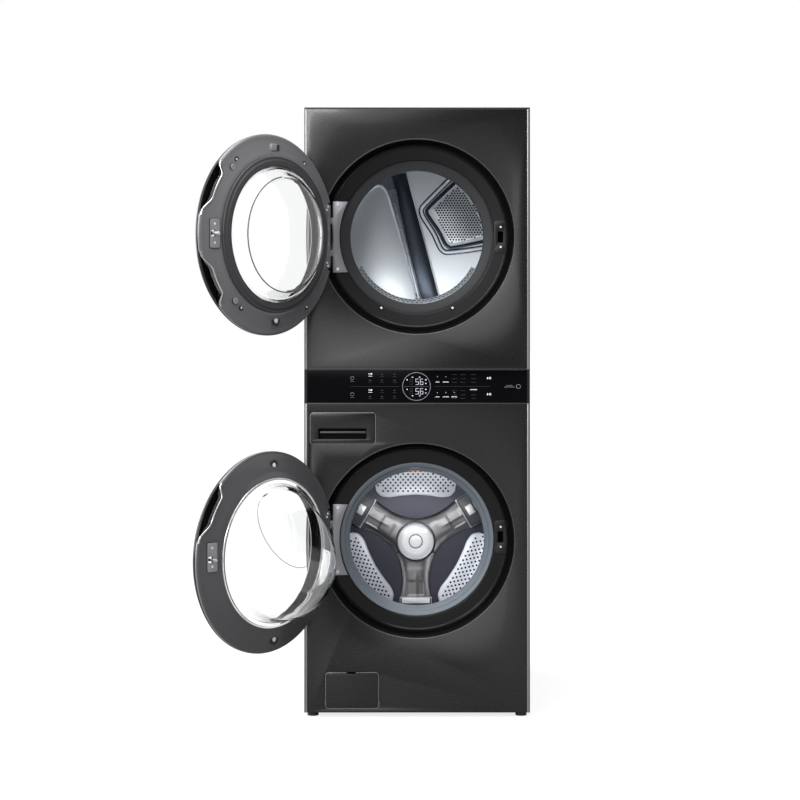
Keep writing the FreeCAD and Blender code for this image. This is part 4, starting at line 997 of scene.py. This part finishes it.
def door_common(door, place, look, bites, spots, latch_z, plate_z, mouth, lip):
    """What both doors share: outer ring, liner with grips, wells, latch plate, outer glass, hinge leaf."""
    def add(part, bm, finish_name, *replaced, slot):
        nodes = [f"{door}_{node}" for node in replaced]
        piece(f"{door}_{part}", bm, finish_name, door, *nodes, slot=slot, place=place)

    ring = [(299, 0), (299, -8), (291, -19), (264, -27), (226, -30), (226, -27), (263, -24), (289, -16.4),
            (296, -6.5), (296, 0)]
    gaps = []
    for s in (-1, 1):
        gaps.append(slab((-305, -17, s * 57 - 17), (-278, 10, s * 57 + 17), 0))
        gaps.append(slab((-305, -40, s * HINGE_ARM_Z - 10), (-282.5, 10, s * HINGE_ARM_Z + 10), 0))
    add("outer_ring", carved(spun(ring, steps=192, radius=2), *gaps), "black_gloss", "frame",
          slot="door_black")
    rim = carved(spun([(299.3, -1.5), (299.3, 3), (297.6, 4), (297.2, -1)], steps=192, radius=0.8),
                 slab((-305, -20, -105), (-262, 20, 105), 0),
                 *[grip_shape(low, high, 312, -10, 20) for low, high in bites])
    add("bright_rim", rim, "bracket", slot="bright_steel")
    inner = [(298.4, 0.3), (298.4, 4), (294, 8), (281, 11), (252, 22), (238, 28.5), (mouth + 2, lip),
             (mouth, lip - 1), (mouth, lip - 3),
             (234, 26), (250, 19), (279, 8), (294, 0.3)]
    cuts = [slab((-305, -10, -104), (-261.5, 40, 104), 0),
            slab((252, -20, latch_z - 9), (266, 40, latch_z + 9), 0)]
    cuts += [grip_shape(low, high, 312, -5, 30) for low, high in bites]
    add("grey_liner", carved(spun(inner, steps=192, radius=5), *cuts), look, "liner", slot="liner_grey")
    pockets = [grip_shape(low, high, 298, -6, -2, -1.5) for low, high in bites]
    add("grip_pockets", merged(*pockets), "void", slot="dark_plastic")
    add("grip_lines", merged(*[grip_line(low, high) for low, high in bites]), "chrome", slot="bright_steel")
    cups, screws = wells([(r, a, size, liner_depth(r)) for r, a, size in spots])
    add("liner_wells", merged(*cups), "black_satin", slot="dark_plastic")
    plate = sheet([rounded(238, 269, plate_z - 42, plate_z + 42, 5),
                   rounded(251.5, 266.5, latch_z - 9.5, latch_z + 9.5, 3)], -2.5, 1)
    lean = move(254, 23.5) @ turn(-21, "Z") @ move(-254)
    plate.transform(lean)
    add("latch_plate", plate, "plate", slot="liner_grey")
    outline = sheet([rounded(236.5, 270.5, plate_z - 43.5, plate_z + 43.5, 6)], -2.5, -0.6)
    outline.transform(lean)
    outline = carved(outline, slab((251, -20, latch_z - 10), (267, 60, latch_z + 10), 0))
    add("latch_outline", outline, "black_satin", slot="dark_plastic")
    for s in (-1, 1):
        screws.append(disc(254, plate_z + s * 27, 3.4, 22, -3.4))
    for z in (-91, -81, -24, 0, 24, 81, 91):
        x = -250 if abs(z) in (91, 0, 24) else -246
        screws.append(disc(x, z, 3.2, 20, -2.6 if abs(z) > 50 else -2.0))
    add("liner_screws", merged(*screws), "cap", slot="bright_steel")
    rim, crown = 225.5, 8.5
    dome_front = [(r, -29.5 - crown * (1 - (r / rim) ** 2)) for r in (0, 45, 90, 135, 180, rim)]
    dome_back = [(r, d + 3.5) for r, d in reversed(dome_front)]
    add("outer_pane", spun(dome_front + dome_back, steps=128, radius=0.5, closed=False), "glass", "glass",
          slot="clear_glass")
    leaf = [slab((-270, -12, -100), (-262, 6, 100), 2)]
    cover = slab((-270, 4, -98), (-244, 16, 98), 4)
    for s in (-1, 1):
        z0, z1 = sorted((s * 57.4, s * 72))
        leaf += [barrel(z0, z1, 3.05), slab((HINGE_X + 5, -13, z0), (-262, -7, z1), 1)]
    add("hinge_leaf", merged(*leaf), "bracket", "hinge", slot="bright_steel")
    clips = [slab((-275.5, 3, s * HINGE_ARM_Z - 9), (-266, 14.5, s * HINGE_ARM_Z + 9), 2) for s in (-1, 1)]
    add("hinge_clips", merged(*clips), "bracket", slot="bright_steel")
    add("hinge_cover", carved(cover,
                              *[slab((-290, -5, s * HINGE_ARM_Z - 10), (-276, 40, s * HINGE_ARM_Z + 10), 0)
                                for s in (-1, 1)]), look,
          slot="liner_grey")


def dryer_door():
    spots = [(254, -92.2, 16), (266.8, 54.3, 7), (256.7, -56.8, 7), (259.4, 122.8, 6.5),
             (264.9, -125.4, 6.5)]
    door_common("dryer_door", DRYER_DOOR, "liner", ((10, 45), (-45, -10)), spots, 0, 0, 201, 29)
    dish = [(200.5, 24), (200.5, 31), (196, 47), (190, 49), (176, 66), (168, 75), (160, 77), (0, 77),
            (0, 73.5), (159, 73.5), (165, 72),
            (173, 64), (187, 46), (193, 44), (197, 30), (197, 24)]
    outline = list(reversed(dish[:8])) + list(reversed(dish[8:]))
    pane = spun(outline, steps=160, radius=3, closed=False)
    piece("dryer_inner_dish", pane, "glass", "dryer_door", "dryer_door_window", slot="clear_glass",
          place=DRYER_DOOR)
    # A dark line along the dish's step: painted shade, on the part of the ring where the glass edge looks dark.
    arc = [polar(170.5, a, 74.6) for a in range(-118, 84, 4)]
    piece("dish_step_line", tube(arc, 1.9), "glass_edge_dark", "dryer_door", slot="clear_glass", place=DRYER_DOOR)
    pads = ((259.6, 48), (254.7, -49.6))
    # Dark discs and a block just wider than the bumpers: painted shade round them.
    shades = [disc(*polar(r, a)[::2], 12.5, liner_depth(r) - 1, -1.8) for r, a in pads]
    shades.append(slab((-24, 16, 250), (-11, 24, 268), 2))
    piece("bumper_shades", merged(*shades), "black_satin", "dryer_door", slot="dark_plastic",
          place=DRYER_DOOR)
    bumpers = [slab((-11, 16, 248), (16, 27, 270), 4)]
    bumpers += [disc(*polar(r, a)[::2], 10.5, liner_depth(r) - 1, -5, bevel=2) for r, a in pads]
    piece("dryer_door_bumpers", merged(*bumpers), "plate", "dryer_door", slot="liner_grey",
          place=DRYER_DOOR)
    seal = [(202, 29.3), (201, 36), (203, 42), (208, 43), (219, 42), (224, 38), (231, 37), (232.5, 33),
            (231, 29.3)]
    piece("dryer_door_gasket", spun(seal, steps=192, radius=2), "seal", "dryer_door", "dryer_door_seal",
          slot="black_rubber",
          place=DRYER_DOOR)
    strike = merged(slab((250, 4, -20), (266, 7, 20), 1), slab((255, -24, -8), (262, 5, 8), 1),
                    slab((256, 6, -5), (262, 46, 5), 1.5),
                    slab((254.5, 39, -5), (263.5, 46, 5), 2))
    piece("dryer_strike", strike, "chrome", "dryer_door", "dryer_door_strike", slot="bright_steel",
          place=DRYER_DOOR)


SLANT_DEPTH, SLANT_RISE, SLANT = 105, 37, 0.6


def washer_door():
    spots = [(259, 92, 14), (259, -92, 15)]
    door_common("washer_door", WASHER_DOOR, "liner_dark", ((11, 48),), spots, 8, 15, 218, 33)
    bowl = [(0, 166), (95, 164), (130, 158), (168, 135), (190, 92), (201, 50), (205, 38), (217.5, 35),
            (217.5, 30), (208, 30), (203, 33),
            (197, 46), (186, 90), (165, 131), (128, 154), (93, 160), (0, 162)]
    bm = spun(bowl, steps=160, radius=14, closed=False)
    start, reach, drop, glass, shallowest, soft = 50, 116, 22, 4.5, 54, 9
    for vert in bm.verts:
        push = max(0, (vert.co.y - start) / reach)
        vert.co.z -= drop * push ** 1.5
        inner_skin = glass if vert.normal.y < 0 else 0
        limit = max(shallowest, SLANT_DEPTH - SLANT * (vert.co.z - SLANT_RISE)) - inner_skin
        over = vert.co.y - limit
        vert.co.y -= soft * math.log1p(math.exp(min(12, over / soft))) if over > -40 else 0
    piece("washer_glass_bowl", bm, "glass", "washer_door", "washer_door_bowl", slot="clear_glass",
          place=WASHER_DOOR, smooth=60)
    # A dark line on the bowl's slanted face: painted shade where the glass edge looks dark.
    arc = []
    for a in range(-100, 100, 4):
        x, _, z = polar(106, a)
        z += SLANT_RISE + 36
        arc.append((x, SLANT_DEPTH - SLANT * (z - SLANT_RISE) - 5.5, z))
    piece("bowl_face_line", tube(arc, 0.9), "glass_edge_dark", "washer_door", slot="clear_glass", place=WASHER_DOOR)
    trim = spun([(217, 33.5), (222, 34), (223, 31), (217, 30)], steps=160, radius=0.8)
    piece("bowl_trim", trim, "chrome", "washer_door", slot="bright_steel", place=WASHER_DOOR)
    hook = merged(slab((255, -4, 4), (263, 10, 12), 1), slab((257, 9, 4), (261, 46, 12), 1),
                  slab((255, 39, 4), (261, 46, 12), 1.5))
    piece("washer_hook", hook, "chrome", "latch_hook", "washer_door_hook", slot="bright_steel",
          place=WASHER_DOOR)


# ---------------------------------------------------------------- floor, light, camera

def split_by_ray(nodes, links, seen, unseen):
    """Mix two shaders: one for what is looked at, even through glass, and one for what it lights."""
    path, either, mix = nodes.new("ShaderNodeLightPath"), nodes.new("ShaderNodeMath"), nodes.new("ShaderNodeMixShader")
    either.operation = "MAXIMUM"
    links.new(path.outputs["Is Camera Ray"], either.inputs[0])
    links.new(path.outputs["Is Transmission Ray"], either.inputs[1])
    links.new(either.outputs[0], mix.inputs["Fac"])
    links.new(unseen, mix.inputs[1])
    links.new(seen, mix.inputs[2])
    return mix.outputs[0]


def stage_floor():
    """A pale floor that looks nearly as white as the surroundings and takes a soft shadow."""
    bm = bmesh.new()
    bmesh.ops.create_grid(bm, x_segments=2, y_segments=2, size=30)
    mesh = bpy.data.meshes.new("floor")
    bm.to_mesh(mesh)
    bm.free()
    floor = bpy.data.objects.new("floor", mesh)
    material = bpy.data.materials.new("pale_floor")
    material.use_nodes = True
    nodes, links = material.node_tree.nodes, material.node_tree.links
    shader = nodes["Principled BSDF"]
    shader.inputs["Base Color"].default_value = (0.30, 0.30, 0.30, 1)
    shader.inputs["Roughness"].default_value = 0.8
    shader.inputs["Specular IOR Level"].default_value = 0
    shader.inputs["Emission Color"].default_value = (1, 1, 1, 1)
    shader.inputs["Emission Strength"].default_value = 0.78
    plain = nodes.new("ShaderNodeBsdfDiffuse")
    plain.inputs["Color"].default_value = (0.30, 0.30, 0.30, 1)
    links.new(split_by_ray(nodes, links, shader.outputs[0], plain.outputs[0]),
              nodes["Material Output"].inputs["Surface"])
    mesh.materials.append(material)
    bpy.context.scene.collection.objects.link(floor)


def light(name, place, target, size, power):
    """A soft square lamp that looks at a point."""
    data = bpy.data.lights.new(name, "AREA")
    data.shape = "RECTANGLE"
    data.size, data.size_y = size
    data.energy = power
    lamp = bpy.data.objects.new(name, data)
    lamp.location = place
    lamp.rotation_euler = (Vector(target) - Vector(place)).to_track_quat("-Z", "Y").to_euler()
    bpy.context.scene.collection.objects.link(lamp)
    return lamp


def studio():
    """White surroundings to look at, a studio darker to the right and below to reflect, and lamps."""
    world = bpy.data.worlds.new("studio")
    bpy.context.scene.world = world
    world.use_nodes = True
    nodes, links = world.node_tree.nodes, world.node_tree.links
    room = nodes["Background"]
    room.inputs["Color"].default_value = (0.86, 0.86, 0.88, 1)
    way, split = nodes.new("ShaderNodeTexCoord"), nodes.new("ShaderNodeSeparateXYZ")
    links.new(way.outputs["Generated"], split.inputs[0])
    across, rise = nodes.new("ShaderNodeMath"), nodes.new("ShaderNodeMath")
    across.operation = "MULTIPLY"
    across.inputs[1].default_value = -1.0
    links.new(split.outputs["X"], across.inputs[0])
    rise.operation = "MULTIPLY_ADD"
    rise.inputs[1].default_value = 0.55
    links.new(split.outputs["Z"], rise.inputs[0])
    links.new(across.outputs[0], rise.inputs[2])
    spread = nodes.new("ShaderNodeMapRange")
    spread.interpolation_type = "SMOOTHSTEP"
    for name, value in (("From Min", -0.13), ("From Max", 0.15), ("To Min", 0.10), ("To Max", 1.45)):
        spread.inputs[name].default_value = value
    links.new(rise.outputs[0], spread.inputs["Value"])
    links.new(spread.outputs["Result"], room.inputs["Strength"])
    seen = nodes.new("ShaderNodeBackground")
    seen.inputs["Color"].default_value = (1, 1, 1, 1)
    links.new(split_by_ray(nodes, links, seen.outputs[0], room.outputs[0]),
              nodes["World Output"].inputs["Surface"])
    light("key_left", (-3.2, -6.0, 3.6), (0, 0, 1.1), (2.2, 2.6), 150)
    light("top", (0, -1.5, 4.6), (0, 0, 0.8), (3.0, 3.0), 90)
    light("rim_left", (-4.5, 1.0, 1.6), (-0.4, -0.5, 1.0), (1.0, 3.0), 60)
    light("right_wall", (4.0, 0.2, 1.3), (-0.5, -0.7, 1.0), (3.0, 3.0), 22)
    light("dryer_lamp", (0.0, FRONT * MM + 0.16, (DRYER_Z - 170) * MM), (0, 0.26, (DRYER_Z - 40) * MM),
          (0.26, 0.08), 0.6)
    light("washer_lamp", (0.0, FRONT * MM + 0.16, (WASHER_Z + 130) * MM), (0, 0.14, (WASHER_Z - 90) * MM),
          (0.3, 0.08), 0.6)


def camera():
    """Level view from the front, a little left of the middle and above half height."""
    data = bpy.data.cameras.new("front_view")
    data.sensor_width = 36
    distance = 5.8
    view_width = 2.48
    data.lens = data.sensor_width * distance / view_width
    height = 1.355
    data.shift_y = (0.983 - height) / view_width
    holder = bpy.data.objects.new("front_view", data)
    holder.location = (-0.053, FRONT * MM - distance, height)
    holder.rotation_euler = (math.pi / 2, 0, 0)
    bpy.context.scene.collection.objects.link(holder)
    bpy.context.scene.camera = holder


bpy.context.scene.view_settings.view_transform = "Standard"
camera()
studio()
stage_floor()
cabinet_finishes()
for make in (front_panels, panel_trims, recesses, gasket, hinge_brackets, console, drawer, flap,
             washer_back, lifters, dryer_ring,
             dryer_back, dryer_door, washer_door):
    make()
